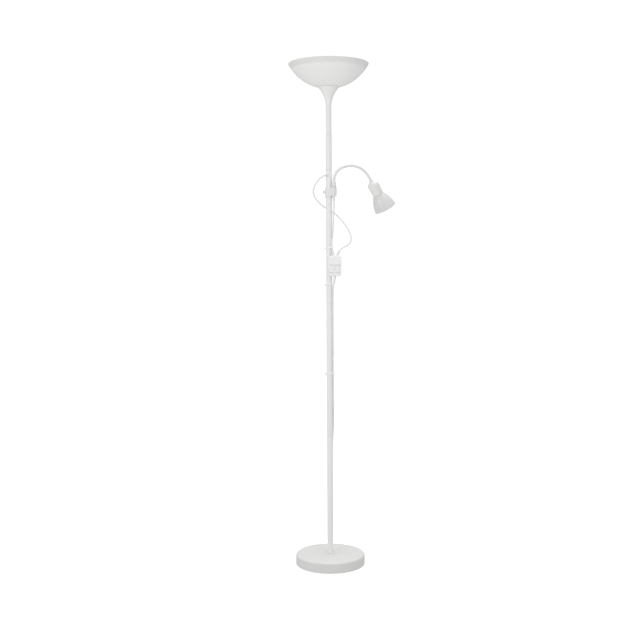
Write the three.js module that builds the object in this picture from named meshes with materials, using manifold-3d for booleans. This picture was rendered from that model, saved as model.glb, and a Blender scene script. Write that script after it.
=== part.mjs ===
// Torchiere floor lamp with a reading arm, in millimetres.
// The pole stands on the Z axis, the floor is z = 0, and the reading arm reaches out towards +X.
import * as THREE from "three";
import { mergeVertices } from "three/addons/utils/BufferGeometryUtils.js";
import Module from "manifold-3d";

const wasm = await Module();
wasm.setup();

// ---- Driving dimensions ----
const GAP = 0.3; // left between touching pieces
const TOTAL_HEIGHT = 1760;

const BASE_R = 122.6;
const BASE_HEIGHT = 38;
const BASE_EDGE_R = 6;
const BASE_WALL = 2;
const BASE_FOOT_EDGE = 2.5; // the side tucks in by this much at the floor

const POLE_R = 10.6;
const POLE_WALL = 1.2;
const FOOT_POST_R = 9.75;
const FOOT_POST_TOP = 85;
const POLE_SEAMS = [462, 929, 1396]; // heights of the joints between pole sections
const POLE_TOP = 1520;

const STEM_NECK_R = 10;
const STEM_FLARE_START = 1612;
const STEM_FLARE_R = 37;
const STEM_WALL = 1.5;
const SHADE_RIM_R = 140;
const SHADE_SPHERE_R = 159.3; // the bowl is a cap of this sphere
const SHADE_WALL = 2;
const HOLDER_R = 19.5; // uplight lampholder
const NIPPLE_TOP = 1650; // the lampholder screws on here

const CORD_R = 2.8;
const CORD_SIDES = 8;

const BRACKET_Z = 1319; // middle of the bracket
const BRACKET_HEIGHT = 34;
const BRACKET_R = 13.3;
const BLOCK_AZIMUTH = -41; // degrees from +X, where the block and the neck stand
const BLOCK_WIDTH = 23;
const BLOCK_DEPTH = 16.4;
const BLOCK_REACH = 19; // from the pole's axis to the middle of the block
const SOCKET_REACH = 23; // from the pole's axis to the neck's foot
const SCREW_AZIMUTH = 150;

const NECK_R = 5;
const NECK_AZIMUTH = 30; // the neck bends in this upright plane
const NECK_FOOT_Z = 1354.8;
// The neck leaves its foot upright and follows these arcs, then a short straight.
const NECK_ARCS = [
  { radius: 53.3, turn: 66 },
  { radius: 101, turn: 30 },
  { radius: 85, turn: 51.4 },
];
const NECK_LENGTH = 201.5;
const NECK_JOINTS = [3, 15, 41, 67, 93, 119, 145, 171, 197.5]; // lengths along the neck
const NECK_JOINT_SETBACK = 1.2; // each link stops this far short of the joint's centre

const HEAD_LENGTH = 114; // from the neck's end to the rim
const BELL_RIM_R = 40.3;
const BELL_TOP_R = 19.8;
const BELL_BELLY = [0.918, 0.562]; // how full the bell is, as shares of its rim radius and length
const COVER_R = 21;
const BELL_LENGTH = 56;
const HEAD_WALL = 1.6;

const SWITCH_CENTRE = new THREE.Vector3(19.7, -21.2, 1062);
const SWITCH_SIZE = new THREE.Vector3(46, 20, 72);
const SWITCH_SEAM_Y = 1.8; // the halves meet here, from the switch's middle
const ROCKER_OFFSET = 10.4; // sideways from the middle of the switch
const ROCKER_DROP = 10.5; // below the middle of the switch

const CLIP_HEIGHTS = [1125.6, 997.7, 683];
const CLIP_HEIGHT = 7;
const READING_JOIN_Z = 1240; // the reading cord's two lengths meet here

const COIL_CENTRE = new THREE.Vector3(-33.6, 162, 0);
const COIL_TURN_R = [22.4, 28, 33.6];
const COIL_LAYERS = 2;
const COIL_BOTTOM = 0.9;
const PLUG_START = new THREE.Vector3(14, 140, 7); // where the tail enters the plug's strain relief

// ---- Cord routes, as points chosen by hand ----
const UPLIGHT_ROUTE = [
  [-4.9, -7.0, 1376],
  [-9.2, -13.1, 1376],
  [-13.4, -18.8, 1375.4],
  [-20.8, -23.6, 1372],
  [-30.5, -25.3, 1365],
  [-41, -23.5, 1353],
  [-50, -18.8, 1338],
  [-54.4, -12.5, 1321],
  [-50.6, -5, 1304.5],
  [-41, 2.5, 1290],
  [-27, 10, 1276],
  [-12, 14.6, 1265],
  [3, 15.6, 1256.5],
  [17.5, 13, 1248],
  [31, 7.5, 1235.5],
  [45, 1.5, 1220],
  [58, -4.5, 1203],
  [69, -10, 1184],
  [76, -14.5, 1164],
  [75, -17.5, 1147],
  [65.5, -19, 1134.5],
  [52, -19.4, 1127],
  [39.6, -19.4, 1118.5],
  [31.6, -19.4, 1107],
  [29.2, -19.4, 1096],
  [29.2, -19.4, 1084],
];
const READING_ROUTE = [
  [17.36, -15.09, 1312],
  [17.36, -15.09, 1288],
  [17.2, -13.6, 1270],
  [16.2, -10.8, 1248],
  [15.2, -8.6, 1224],
  [14, -7.6, 1196],
  [12, -8, 1168],
  [9.6, -9.9, 1145],
  [10.2, -12.4, 1128],
  [12.6, -15.9, 1114],
  [14.8, -18.6, 1101],
  [15.2, -19.4, 1084],
];
const MAINS_ROUTE = [
  [19.7, -19.4, 1036],
  [19.6, -18.9, 1026],
  [18.6, -16.5, 1015],
  [16.7, -12.6, 1004],
  [14.6, -8.8, 993],
  [13.2, -6.3, 978],
  [12.6, -5.7, 955],
  [12.6, -5.7, 820],
  [12.6, -5.7, 683],
  [13.6, -2.2, 610],
  [12.9, 4.9, 520],
  [9.4, 10.2, 442],
  [5, 12.9, 353],
  [1.6, 13.8, 260],
  [0, 13.9, 160],
  [0, 14, 90],
  [0, 14.4, 66],
  [0, 17.6, 53],
  [0, 26, 44.2],
  [0, 38, 41.5],
  [0, 60, 41.2],
  [0, 90, 41.4],
  [0, 112, 41.8],
  [0, 122.5, 41.2],
  [0, 131.5, 36.2],
  [0, 138, 29],
  [0, 141.5, 21.8],
  [0, 147.5, 14.6],
  [0, 155, 10.6],
  [0, 162, 9.3],
];
const TAIL_ROUTE = [
  [-33.6, 128.4, 3.7],
  [-25, 128.4, 3.7],
  [-14, 129.2, 3.9],
  [-4, 132.2, 4.7],
  [4, 136.2, 5.8],
  [12, 139.3, 6.8],
  [20, 140, 7],
  [30, 140, 7],
];

// ---- Materials ----
function finish(color, roughness, metalness = 0) {
  return new THREE.MeshStandardMaterial({ color, roughness, metalness });
}
const PAINT = finish(0xe9e9e7, 0.42, 0.1);
const PLASTIC = finish(0xebebe9, 0.38);
const SOFT_PLASTIC = finish(0xe6e6e3, 0.55);
const STEEL = finish(0xb9bcc0, 0.35, 1);
const CAST_IRON = finish(0x4c4d4f, 0.7, 0.8);
const RUBBER = finish(0x3a3a3c, 0.85);
const GLASS = finish(0xf6f5ee, 0.2);

// ---- Small helpers ----
const lamp = new THREE.Group();

function add(name, geometry, material, parent = lamp) {
  const mesh = new THREE.Mesh(geometry, material);
  mesh.name = name;
  parent.add(mesh);
  return mesh;
}

function rad(degrees) {
  return THREE.MathUtils.degToRad(degrees);
}

// A solid of revolution about +Z from [radius, height] pairs, listed up the outside and down the inside.
function turned(pairs, segments = 24) {
  const profile = pairs.map(([r, z]) => new THREE.Vector2(r, z));
  const onAxis = pairs[0][0] === 0 && pairs[pairs.length - 1][0] === 0;
  if (!onAxis) {
    profile.push(profile[0].clone());
  }
  const geometry = new THREE.LatheGeometry(profile, segments);
  geometry.rotateX(Math.PI / 2);
  return geometry;
}

function tube(outer, inner, low, high, segments = 24) {
  return turned([[inner, low], [outer, low], [outer, high], [inner, high]], segments);
}

function disc(radius, low, high, segments = 24) {
  return turned([[0, low], [radius, low], [radius, high], [0, high]], segments);
}

function box(sx, sy, sz, x, y, z) {
  return new THREE.BoxGeometry(sx, sy, sz).translate(x, y, z);
}

// A bar with rounded corners in plan, standing on `low` and reaching `high`.
function roundedBar(width, depth, radius, low, high, steps = 4) {
  const w = width / 2;
  const d = depth / 2;
  const shape = new THREE.Shape();
  shape.moveTo(-w + radius, -d);
  shape.lineTo(w - radius, -d);
  shape.absarc(w - radius, -d + radius, radius, -Math.PI / 2, 0);
  shape.lineTo(w, d - radius);
  shape.absarc(w - radius, d - radius, radius, 0, Math.PI / 2);
  shape.lineTo(-w + radius, d);
  shape.absarc(-w + radius, d - radius, radius, Math.PI / 2, Math.PI);
  shape.lineTo(-w, -d + radius);
  shape.absarc(-w + radius, -d + radius, radius, Math.PI, Math.PI * 1.5);
  const depthwise = { depth: high - low, bevelEnabled: false, curveSegments: steps / 2 };
  const geometry = new THREE.ExtrudeGeometry(shape, depthwise);
  return geometry.translate(0, 0, low);
}

// A round bar of the given radius that follows a curve.
function sweep(curve, radius, steps, sides = CORD_SIDES) {
  const section = new THREE.Shape();
  section.absarc(0, 0, radius, 0, Math.PI * 2);
  return new THREE.ExtrudeGeometry(section, {
    steps,
    curveSegments: sides / 2,
    bevelEnabled: false,
    extrudePath: curve,
  });
}

function through(points) {
  const places = points.map((p) => new THREE.Vector3(...p));
  const curve = new THREE.CatmullRomCurve3(places, false, "centripetal");
  curve.arcLengthDivisions = 1200;
  return curve;
}

// The part of a curve between two fractions of its length.
class CurvePart extends THREE.Curve {
  constructor(whole, from, to) {
    super();
    this.whole = whole;
    this.from = from;
    this.to = to;
  }

  getPoint(t, target = new THREE.Vector3()) {
    return this.whole.getPointAt(this.from + (this.to - this.from) * t, target);
  }
}

function stretch(curve, from, to) {
  return new CurvePart(curve, from, to);
}

function toSolid(geometry) {
  const bare = geometry.clone();
  bare.deleteAttribute("normal");
  bare.deleteAttribute("uv");
  const merged = mergeVertices(bare, 1e-4);
  const index = merged.index.array;
  const position = merged.attributes.position.array;
  const triangles = [];
  for (let i = 0; i < index.length; i += 3) {
    const [a, b, c] = [index[i], index[i + 1], index[i + 2]];
    if (a !== b && b !== c && c !== a) {
      triangles.push(a, b, c);
    }
  }
  return new wasm.Manifold(
    new wasm.Mesh({
      numProp: 3,
      vertProperties: new Float32Array(position),
      triVerts: new Uint32Array(triangles),
    }),
  );
}

function toGeometry(solid) {
  const mesh = solid.getMesh();
  const geometry = new THREE.BufferGeometry();
  geometry.setAttribute("position", new THREE.BufferAttribute(mesh.vertProperties, 3));
  geometry.setIndex(new THREE.BufferAttribute(mesh.triVerts, 1));
  geometry.computeVertexNormals();
  return geometry;
}

function join(...geometries) {
  return toGeometry(geometries.map(toSolid).reduce((all, next) => all.add(next)));
}

function cut(geometry, ...tools) {
  return toGeometry(tools.map(toSolid).reduce((left, tool) => left.subtract(tool), toSolid(geometry)));
}

// Lays a solid that was turned about +Z along a radial direction at this azimuth and height.
function pointedOutwards(geometry, azimuth, height) {
  return geometry.rotateY(Math.PI / 2).rotateZ(rad(azimuth)).translate(0, 0, height);
}

// ---- Base ----
function arcPairs(centreR, centreZ, radius, from, to, steps) {
  const pairs = [];
  for (let i = 0; i <= steps; i += 1) {
    const angle = rad(from + ((to - from) * i) / steps);
    pairs.push([centreR + radius * Math.cos(angle), centreZ + radius * Math.sin(angle)]);
  }
  return pairs;
}

function buildBase() {
  const studHoleR = 6;
  const edgeR = BASE_R - BASE_EDGE_R;
  const edgeZ = BASE_HEIGHT - BASE_EDGE_R;
  const inside = BASE_EDGE_R - BASE_WALL;
  const cover = turned(
    [
      [BASE_R - BASE_WALL - BASE_FOOT_EDGE, 1],
      [BASE_R - BASE_FOOT_EDGE, 1],
      [BASE_R, 1 + BASE_FOOT_EDGE],
      ...arcPairs(edgeR, edgeZ, BASE_EDGE_R, 0, 90, 4),
      [studHoleR, BASE_HEIGHT],
      [studHoleR, BASE_HEIGHT - BASE_WALL],
      ...arcPairs(edgeR, edgeZ, inside, 90, 0, 2),
      [BASE_R - BASE_WALL, 2 + BASE_FOOT_EDGE],
    ],
    40,
  );
  add("base_cover", cover, PAINT);

  const weightBottom = 8;
  const weightTop = 21;
  const bossR = 24;
  const weight = turned(
    [
      [studHoleR, weightBottom],
      [112, weightBottom],
      [112, weightTop],
      [bossR, weightTop],
      [bossR, BASE_HEIGHT - BASE_WALL - GAP],
      [studHoleR, BASE_HEIGHT - BASE_WALL - GAP],
    ],
    24,
  );
  add("base_weight", weight, CAST_IRON);
  add("base_pad", disc(BASE_R - BASE_WALL - BASE_FOOT_EDGE - 0.8, 0, 2, 40), RUBBER);

  const studR = 4.9;
  add("foot_stud", disc(studR, 2.5, 78, 16), STEEL);
  const nutBore = studR + GAP;
  const nut = turned([[nutBore, 2.6], [8.5, 2.6], [8.5, 6], [14, 6], [14, weightBottom - GAP],
    [nutBore, weightBottom - GAP]], 12);
  add("foot_nut", nut, STEEL);

  const spigotR = POLE_R - POLE_WALL - GAP;
  const bore = studR + GAP;
  const post = turned(
    [
      [bore, BASE_HEIGHT + GAP],
      [POLE_R + 0.6, BASE_HEIGHT + GAP],
      [POLE_R + 0.6, BASE_HEIGHT + 2],
      [FOOT_POST_R, BASE_HEIGHT + 3],
      [FOOT_POST_R, FOOT_POST_TOP],
      [spigotR, FOOT_POST_TOP],
      [spigotR, FOOT_POST_TOP + 30],
      [bore, FOOT_POST_TOP + 30],
    ],
    20,
  );
  add("foot_post", post, PAINT);
}

// ---- Pole ----
const GROMMET_Z = 1376;
const GROMMET_AZIMUTH = 235;
const GROMMET_HOLE_R = 5;

function buildPole() {
  const innerR = POLE_R - POLE_WALL;
  const ends = [FOOT_POST_TOP + GAP, ...POLE_SEAMS, POLE_TOP];
  for (let i = 0; i < ends.length - 1; i += 1) {
    const low = ends[i];
    const high = ends[i + 1] - (i < ends.length - 2 ? GAP : 0);
    let section = tube(POLE_R, innerR, low, high);
    if (low < GROMMET_Z && GROMMET_Z < high) {
      const drill = disc(GROMMET_HOLE_R + GAP, 4, 20, 12);
      section = cut(section, pointedOutwards(drill, GROMMET_AZIMUTH, GROMMET_Z));
    }
    add(`pole_section_${i + 1}`, section, PAINT);
  }
  const couplerHalf = 30;
  POLE_SEAMS.forEach((seam, i) => {
    const up = i === POLE_SEAMS.length - 1 ? couplerHalf + 20 : couplerHalf;
    const down = i === POLE_SEAMS.length - 1 ? 12 : couplerHalf;
    const coupler = tube(innerR - GAP, innerR - GAP - 1.4, seam - down, seam + up, 16);
    add(`pole_coupler_${i + 1}`, coupler, STEEL);
  });

  // The grommet's collar stands on the outside of the tube, and its neck lines the hole.
  const boreR = CORD_R + 0.4;
  const collar = turned([[boreR, 7.6], [GROMMET_HOLE_R, 7.6], [GROMMET_HOLE_R, 10], [6.2, 10], [6.2, 12.6],
    [boreR + 0.9, 13.4], [boreR, 13.4]], 12);
  // Only the collar is cut to the tube: the neck passes through the hole in the tube's wall.
  const grommetHole = pointedOutwards(disc(GROMMET_HOLE_R + 0.01, 4, 20, 12), GROMMET_AZIMUTH, GROMMET_Z);
  const grommet = cut(
    pointedOutwards(collar, GROMMET_AZIMUTH, GROMMET_Z),
    cut(tube(POLE_R + GAP, 7, GROMMET_Z - 20, GROMMET_Z + 20), grommetHole),
  );
  add("cord_grommet", grommet, SOFT_PLASTIC);
}

// ---- Uplight ----
function shadeZ(radius, sphereR = SHADE_SPHERE_R) {
  const centreZ = TOTAL_HEIGHT + Math.sqrt(SHADE_SPHERE_R ** 2 - SHADE_RIM_R ** 2);
  return centreZ - Math.sqrt(sphereR ** 2 - radius ** 2);
}

function buildStem() {
  const top = shadeZ(STEM_FLARE_R) - 1.2;
  const flareSteps = 6;
  const outside = [];
  for (let i = 0; i <= flareSteps; i += 1) {
    const t = i / flareSteps;
    const r = STEM_NECK_R + (STEM_FLARE_R - STEM_NECK_R) * t ** 2.2;
    outside.push([r, STEM_FLARE_START + (top - STEM_FLARE_START) * t]);
  }
  const inside = outside.filter((_, i) => i % 2 === 0).map(([r, z]) => [r - STEM_WALL, z]).reverse();
  const spigotR = POLE_R - POLE_WALL - GAP;
  const stem = turned(
    [
      [spigotR - STEM_WALL, POLE_TOP - 40],
      [spigotR, POLE_TOP - 40],
      [spigotR, POLE_TOP + GAP],
      [STEM_NECK_R, POLE_TOP + GAP],
      ...outside,
      ...inside,
      [STEM_NECK_R - STEM_WALL, POLE_TOP + 2],
      [spigotR - STEM_WALL, POLE_TOP + 1],
    ],
    24,
  );
  add("shade_stem", stem, PAINT);

  // A hollow threaded nipple, whose flange rests in the flare, carries the lampholder.
  const flangeZ = 1640;
  const nipple = turned([[3.4, 1622], [5, 1622], [5, flangeZ], [11.6, flangeZ], [12.4, flangeZ + 3],
    [5, flangeZ + 3], [5, NIPPLE_TOP], [3.4, NIPPLE_TOP]], 16);
  add("stem_nipple", nipple, STEEL);
}

function buildUplight() {
  const holderBottom = NIPPLE_TOP + 6;
  const holderTop = holderBottom + 40;
  const boreR = 14.3;
  const holder = turned(
    [
      [3.6, NIPPLE_TOP + GAP],
      [7, NIPPLE_TOP + GAP],
      [7, holderBottom],
      [HOLDER_R - 2, holderBottom],
      [HOLDER_R, holderBottom + 4],
      [HOLDER_R, holderTop],
      [boreR, holderTop],
      [boreR, holderBottom + 5],
      [3.6, holderBottom + 5],
    ],
    16,
  );
  add("uplight_lampholder", holder, PLASTIC);

  const holeR = HOLDER_R + 0.6;
  const insideR = SHADE_SPHERE_R - SHADE_WALL;
  const steps = 5;
  const outside = [];
  const inside = [];
  const lowAngle = Math.asin(holeR / SHADE_SPHERE_R);
  const highAngle = Math.asin(SHADE_RIM_R / SHADE_SPHERE_R);
  const centreZ = TOTAL_HEIGHT + Math.sqrt(SHADE_SPHERE_R ** 2 - SHADE_RIM_R ** 2);
  for (let i = 0; i <= steps; i += 1) {
    const angle = lowAngle + ((highAngle - lowAngle) * i) / steps;
    outside.push([SHADE_SPHERE_R * Math.sin(angle), centreZ - SHADE_SPHERE_R * Math.cos(angle)]);
    inside.unshift([insideR * Math.sin(angle), centreZ - insideR * Math.cos(angle)]);
  }
  inside[inside.length - 1][0] = holeR;
  const rimLift = 0.4;
  const bowl = turned([...outside, [SHADE_RIM_R - 0.4, TOTAL_HEIGHT + rimLift], ...inside], 40);
  add("bowl_shade", bowl, PLASTIC);

  const seat = shadeZ(holeR, insideR) + GAP;
  const ring = tube(31, HOLDER_R + GAP, seat + 2.6, seat + 9);
  add("shade_ring", ring, PLASTIC);

  // An A60 bulb: screw cap, cone and globe in one turned solid.
  const globeR = 30;
  const globeZ = holderTop + 30;
  const capR = 13.2;
  const bulb = turned(
    [
      [0, holderBottom + 6],
      [5, holderBottom + 6],
      [capR, holderBottom + 11],
      [capR, holderTop + 1],
      [16, holderTop + 4],
      ...arcPairs(0, globeZ, globeR, -46, 90, 6).slice(0, -1),
      [0, globeZ + globeR],
    ],
    16,
  );
  add("uplight_bulb", bulb, GLASS);
}

// ---- Bracket on the pole ----
function polar(radius, azimuth, z) {
  return new THREE.Vector3(radius * Math.cos(rad(azimuth)), radius * Math.sin(rad(azimuth)), z);
}

const SOCKET = polar(SOCKET_REACH, BLOCK_AZIMUTH, 0);
const BLOCK_LOW = BRACKET_Z - 14;
const BLOCK_HIGH = BRACKET_Z + 18;

function buildBracket() {
  const low = BRACKET_Z - BRACKET_HEIGHT / 2;
  const high = BRACKET_Z + BRACKET_HEIGHT / 2;
  const boreR = POLE_R + 1.5;

  // The split liner sits between the pole and the bracket's bore.
  const liner = cut(
    turned([[POLE_R + 0.05, low - 1.5], [BRACKET_R - 0.4, low - 1.5], [BRACKET_R - 0.4, low - GAP],
      [boreR - 0.2, low - GAP], [boreR - 0.2, high], [POLE_R + 0.05, high]]),
    box(10, 1.6, BRACKET_HEIGHT + 10, -POLE_R, 0, BRACKET_Z),
  );
  add("clamp_liner", liner, SOFT_PLASTIC);

  const sleeve = turned([[boreR, low], [BRACKET_R - 0.8, low], [BRACKET_R, low + 1], [BRACKET_R, high - 1],
    [BRACKET_R - 0.8, high], [boreR, high]]);
  const block = roundedBar(BLOCK_WIDTH, BLOCK_DEPTH, 3, BLOCK_LOW, BLOCK_HIGH);
  block.translate(BLOCK_REACH, 0, 0).rotateZ(rad(BLOCK_AZIMUTH));
  const bossShape = turned([[0, 12.6], [7, 12.6], [6, 15.5], [0, 15.5]], 16);
  const boss = pointedOutwards(bossShape, SCREW_AZIMUTH, BRACKET_Z + 1);
  const bore = disc(boreR, low - 1, high + 1);
  const screwHole = pointedOutwards(disc(2.9, 5, 20, 12), SCREW_AZIMUTH, BRACKET_Z + 1);
  const neckHole = disc(NECK_R + GAP, BLOCK_HIGH - 10, BLOCK_HIGH + 1, 16).translate(SOCKET.x, SOCKET.y, 0);
  const cordHole = disc(CORD_R + 0.4, BLOCK_LOW - 1, BLOCK_HIGH, 12).translate(SOCKET.x, SOCKET.y, 0);
  add("bracket_body", cut(join(sleeve, block, boss), bore, screwHole, neckHole, cordHole), PLASTIC);

  const knob = turned(
    [
      [0, POLE_R + 2.1],
      [2.5, POLE_R + 2.1],
      [2.5, 15.8],
      [6.25, 15.8],
      [6.25, 20],
      [5, 23.2],
      [3.6, 24],
      [0, 24],
    ],
    16,
  );
  add("thumb_screw", pointedOutwards(knob, SCREW_AZIMUTH, BRACKET_Z + 1), PLASTIC);

  const ferruleTop = NECK_FOOT_Z;
  const ferrule = turned([[NECK_R + GAP, BLOCK_HIGH + GAP], [8, BLOCK_HIGH + GAP], [8, ferruleTop - 5],
    [6.6, ferruleTop], [NECK_R + GAP, ferruleTop]], 20);
  add("neck_ferrule", ferrule.translate(SOCKET.x, SOCKET.y, 0), PLASTIC);

  const reliefTop = BLOCK_LOW - GAP;
  const reliefBottom = reliefTop - 16;
  const reliefR = 5.2;
  const relief = turned([[CORD_R + 0.3, reliefBottom], [CORD_R + 1.1, reliefBottom], [reliefR, reliefTop - 2],
    [reliefR, reliefTop], [CORD_R + 0.3, reliefTop]], 12);
  add("bracket_cord_relief", relief.translate(SOCKET.x, SOCKET.y, 0), SOFT_PLASTIC);
}

// ---- Flexible neck ----
// The neck's centreline, measured by its length from the foot.
class NeckLine extends THREE.Curve {
  constructor(from, to) {
    super();
    this.from = from;
    this.to = to;
  }

  getPoint(t, target = new THREE.Vector3()) {
    const { reach, rise } = neckPlace(this.from + (this.to - this.from) * t);
    const outwards = polar(reach, NECK_AZIMUTH, rise);
    return target.copy(outwards).add(new THREE.Vector3(SOCKET.x, SOCKET.y, 0));
  }
}

// Where the neck is in its own plane after this much length, and which way it points. It is straight
// below its foot and after its last arc.
function neckPlace(length) {
  if (length < 0) {
    return { reach: 0, rise: NECK_FOOT_Z + length, angle: 90 };
  }
  let reach = 0;
  let rise = NECK_FOOT_Z;
  let angle = 90;
  let left = length;
  for (const { radius, turn } of NECK_ARCS) {
    const arcLength = radius * rad(turn);
    const part = Math.min(left, arcLength) / radius;
    const next = rad(angle) - part;
    reach += radius * (Math.sin(rad(angle)) - Math.sin(next));
    rise += radius * (Math.cos(next) - Math.cos(rad(angle)));
    angle = THREE.MathUtils.radToDeg(next);
    left -= part * radius;
    if (left <= 0) {
      return { reach, rise, angle };
    }
  }
  reach += left * Math.cos(rad(angle));
  rise += left * Math.sin(rad(angle));
  return { reach, rise, angle };
}

function buildNeck() {
  const root = sweep(new NeckLine(-9, NECK_JOINTS[0] - NECK_JOINT_SETBACK), NECK_R, 2, 12);
  add("neck_root", root, PLASTIC);
  for (let i = 0; i < NECK_JOINTS.length - 1; i += 1) {
    const from = NECK_JOINTS[i] + NECK_JOINT_SETBACK;
    const to = NECK_JOINTS[i + 1] - NECK_JOINT_SETBACK;
    const steps = i === 0 ? 2 : 4;
    add(`neck_link_${i + 1}`, sweep(new NeckLine(from, to), NECK_R, steps, 12), PLASTIC);
  }
}

// ---- Reading head ----
function bellPairs(rimR, topR, length, wall, steps) {
  const curve = new THREE.QuadraticBezierCurve(
    new THREE.Vector2(rimR - wall, 0),
    new THREE.Vector2(rimR * BELL_BELLY[0] - wall, length * BELL_BELLY[1]),
    new THREE.Vector2(topR - wall, length),
  );
  return curve.getPoints(steps).map((p) => [p.x, p.y]);
}

function buildHead() {
  const end = neckPlace(NECK_LENGTH);
  const angle = rad(end.angle);
  const axis = polar(Math.cos(angle), NECK_AZIMUTH, Math.sin(angle));
  const neckEnd = polar(end.reach, NECK_AZIMUTH, end.rise).add(new THREE.Vector3(SOCKET.x, SOCKET.y, 0));

  // In this group the rim lies at z = 0 and the neck enters at z = HEAD_LENGTH.
  const head = new THREE.Group();
  head.position.copy(neckEnd).addScaledVector(axis, HEAD_LENGTH);
  head.quaternion.setFromUnitVectors(new THREE.Vector3(0, 0, 1), axis.clone().negate());
  lamp.add(head);

  const outside = bellPairs(BELL_RIM_R, BELL_TOP_R, BELL_LENGTH, 0, 4);
  const inside = bellPairs(BELL_RIM_R, BELL_TOP_R, BELL_LENGTH - HEAD_WALL, HEAD_WALL, 4).reverse();
  const holderR = 13.6;
  const bell = turned([...outside, [holderR + 0.5, BELL_LENGTH], [holderR + 0.5, BELL_LENGTH - HEAD_WALL],
    ...inside], 28);
  add("reading_bell", bell, PLASTIC, head);

  const capLow = BELL_LENGTH + GAP;
  const neckHoleR = NECK_R + 0.6;
  const cap = turned(
    [
      [BELL_TOP_R - 2.4, capLow],
      [BELL_TOP_R - 0.5, capLow],
      [COVER_R, 92],
      ...arcPairs(COVER_R - 10, 95, 10, 0, 80, 3),
      [8, 108],
      [7.6, HEAD_LENGTH],
      [neckHoleR, HEAD_LENGTH],
      [neckHoleR, 102],
      [COVER_R - 3.4, 95],
      [COVER_R - 3, 90],
    ],
    20,
  );
  add("reading_socket_cover", cap, PLASTIC, head);

  const holder = turned(
    [
      [3, 88],
      [holderR, 88],
      [holderR, 44],
      [9.8, 44],
      [9.8, 82],
      [3, 82],
    ].reverse(),
    16,
  );
  add("reading_lampholder", holder, PLASTIC, head);
  const shelf = BELL_LENGTH - HEAD_WALL - GAP;
  const ring = turned([[holderR + GAP, 43], [17, 43], [17, 51], [15.2, shelf], [holderR + GAP, shelf]]);
  add("reading_ring", ring, PLASTIC, head);

  // A reflector bulb: flat face, conical back and screw cap.
  const bulb = turned(
    [
      [0, 16],
      [20, 17],
      [23, 21],
      [22, 26],
      [13, 36],
      [9.2, 42.5],
      [9.2, 70],
      [4, 76],
      [0, 76],
    ],
    20,
  );
  add("reading_bulb", bulb, GLASS, head);
}

// ---- Twin switch ----
function buildSwitch() {
  const { x: width, y: depth, z: height } = SWITCH_SIZE;
  const seamY = SWITCH_SEAM_Y;
  const wall = 2;
  const cornerR = 9;
  const shell = (front, back, inset) =>
    roundedBar(width - 2 * inset, height - 2 * inset, cornerR, front, back, 5);
  const upright = (geometry) => geometry.rotateX(Math.PI / 2);

  // Extruded along Y: the front half faces -Y and the rear half faces the pole.
  const frontOuter = upright(shell(-seamY + GAP / 2, depth / 2, 0));
  const frontInner = upright(shell(-seamY - 1, depth / 2 - wall, wall));
  const rearOuter = upright(shell(-depth / 2, -seamY - GAP / 2, 0));
  const rearInner = upright(shell(-depth / 2 + wall, -seamY + 1, wall));
  const wellWidth = 15.6;
  const wellHeight = 28;
  const rockerHoles = [-1, 1].map((side) =>
    box(wellWidth, 10, wellHeight, side * ROCKER_OFFSET, -depth / 2, -ROCKER_DROP));
  const cordHoles = [
    sweep(stretch(UPLIGHT_CURVE, 0.95, 1), CORD_R + 0.5, 3, 10),
    sweep(stretch(READING_CURVE, 0.9, 1), CORD_R + 0.5, 3, 10),
    sweep(stretch(MAINS_CURVE, 0, 0.02), CORD_R + 0.9, 4, 10),
  ].map((hole) => hole.translate(-SWITCH_CENTRE.x, -SWITCH_CENTRE.y, -SWITCH_CENTRE.z));
  const place = (geometry) => geometry.translate(SWITCH_CENTRE.x, SWITCH_CENTRE.y, SWITCH_CENTRE.z);
  add("switch_front", place(cut(frontOuter, frontInner, ...rockerHoles, ...cordHoles)), PLASTIC);
  add("switch_rear", place(cut(rearOuter, rearInner, ...cordHoles)), PLASTIC);

  for (const [name, side] of [["rocker_left", -1], ["rocker_right", 1]]) {
    // Seen from the side, a rocker is a shallow vee that rocks on the round of its back.
    const outline = new THREE.Shape();
    outline.moveTo(-13.2, 1.6);
    outline.lineTo(0, 0.2);
    outline.lineTo(13.2, -1.6);
    outline.lineTo(13.2, 3);
    outline.absarc(0, 3, 5, 0.1, Math.PI - 0.1, false);
    outline.lineTo(-13.2, 3);
    const rocker = new THREE.ExtrudeGeometry(outline, { depth: 15, bevelEnabled: false, curveSegments: 6 });
    rocker.translate(0, 0, -7.5).rotateY(-Math.PI / 2);
    rocker.translate(side * ROCKER_OFFSET, -depth / 2 - 1.4, -ROCKER_DROP);
    add(name, place(rocker), PLASTIC);
  }
}

// ---- Cords, and what holds them ----
const UPLIGHT_CURVE = through(UPLIGHT_ROUTE);
const READING_CURVE = through(READING_ROUTE);
const MAINS_CURVE = through(MAINS_ROUTE);
const TAIL_CURVE = through(TAIL_ROUTE);

function fractionAt(curve, height) {
  let low = 0;
  let high = 1;
  for (let i = 0; i < 30; i += 1) {
    const middle = (low + high) / 2;
    if (curve.getPointAt(middle).z > height) {
      low = middle;
    } else {
      high = middle;
    }
  }
  return low;
}

// A soft sleeve round a cord, in two steps that get slimmer away from the housing.
function cordSleeve(curve, thick, thin, end) {
  const middle = (thick + thin) / 2;
  const margin = (thin - thick) * 0.2;
  const wide = sweep(stretch(curve, thick, middle), CORD_R + 2.8, 2, 8);
  const slim = sweep(stretch(curve, middle - margin, thin), CORD_R + 1.9, 3, 8);
  const bore = sweep(stretch(curve, thick - margin, thin + margin), CORD_R + 0.8, 4, 8);
  return cut(join(wide, slim), bore, end);
}

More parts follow.
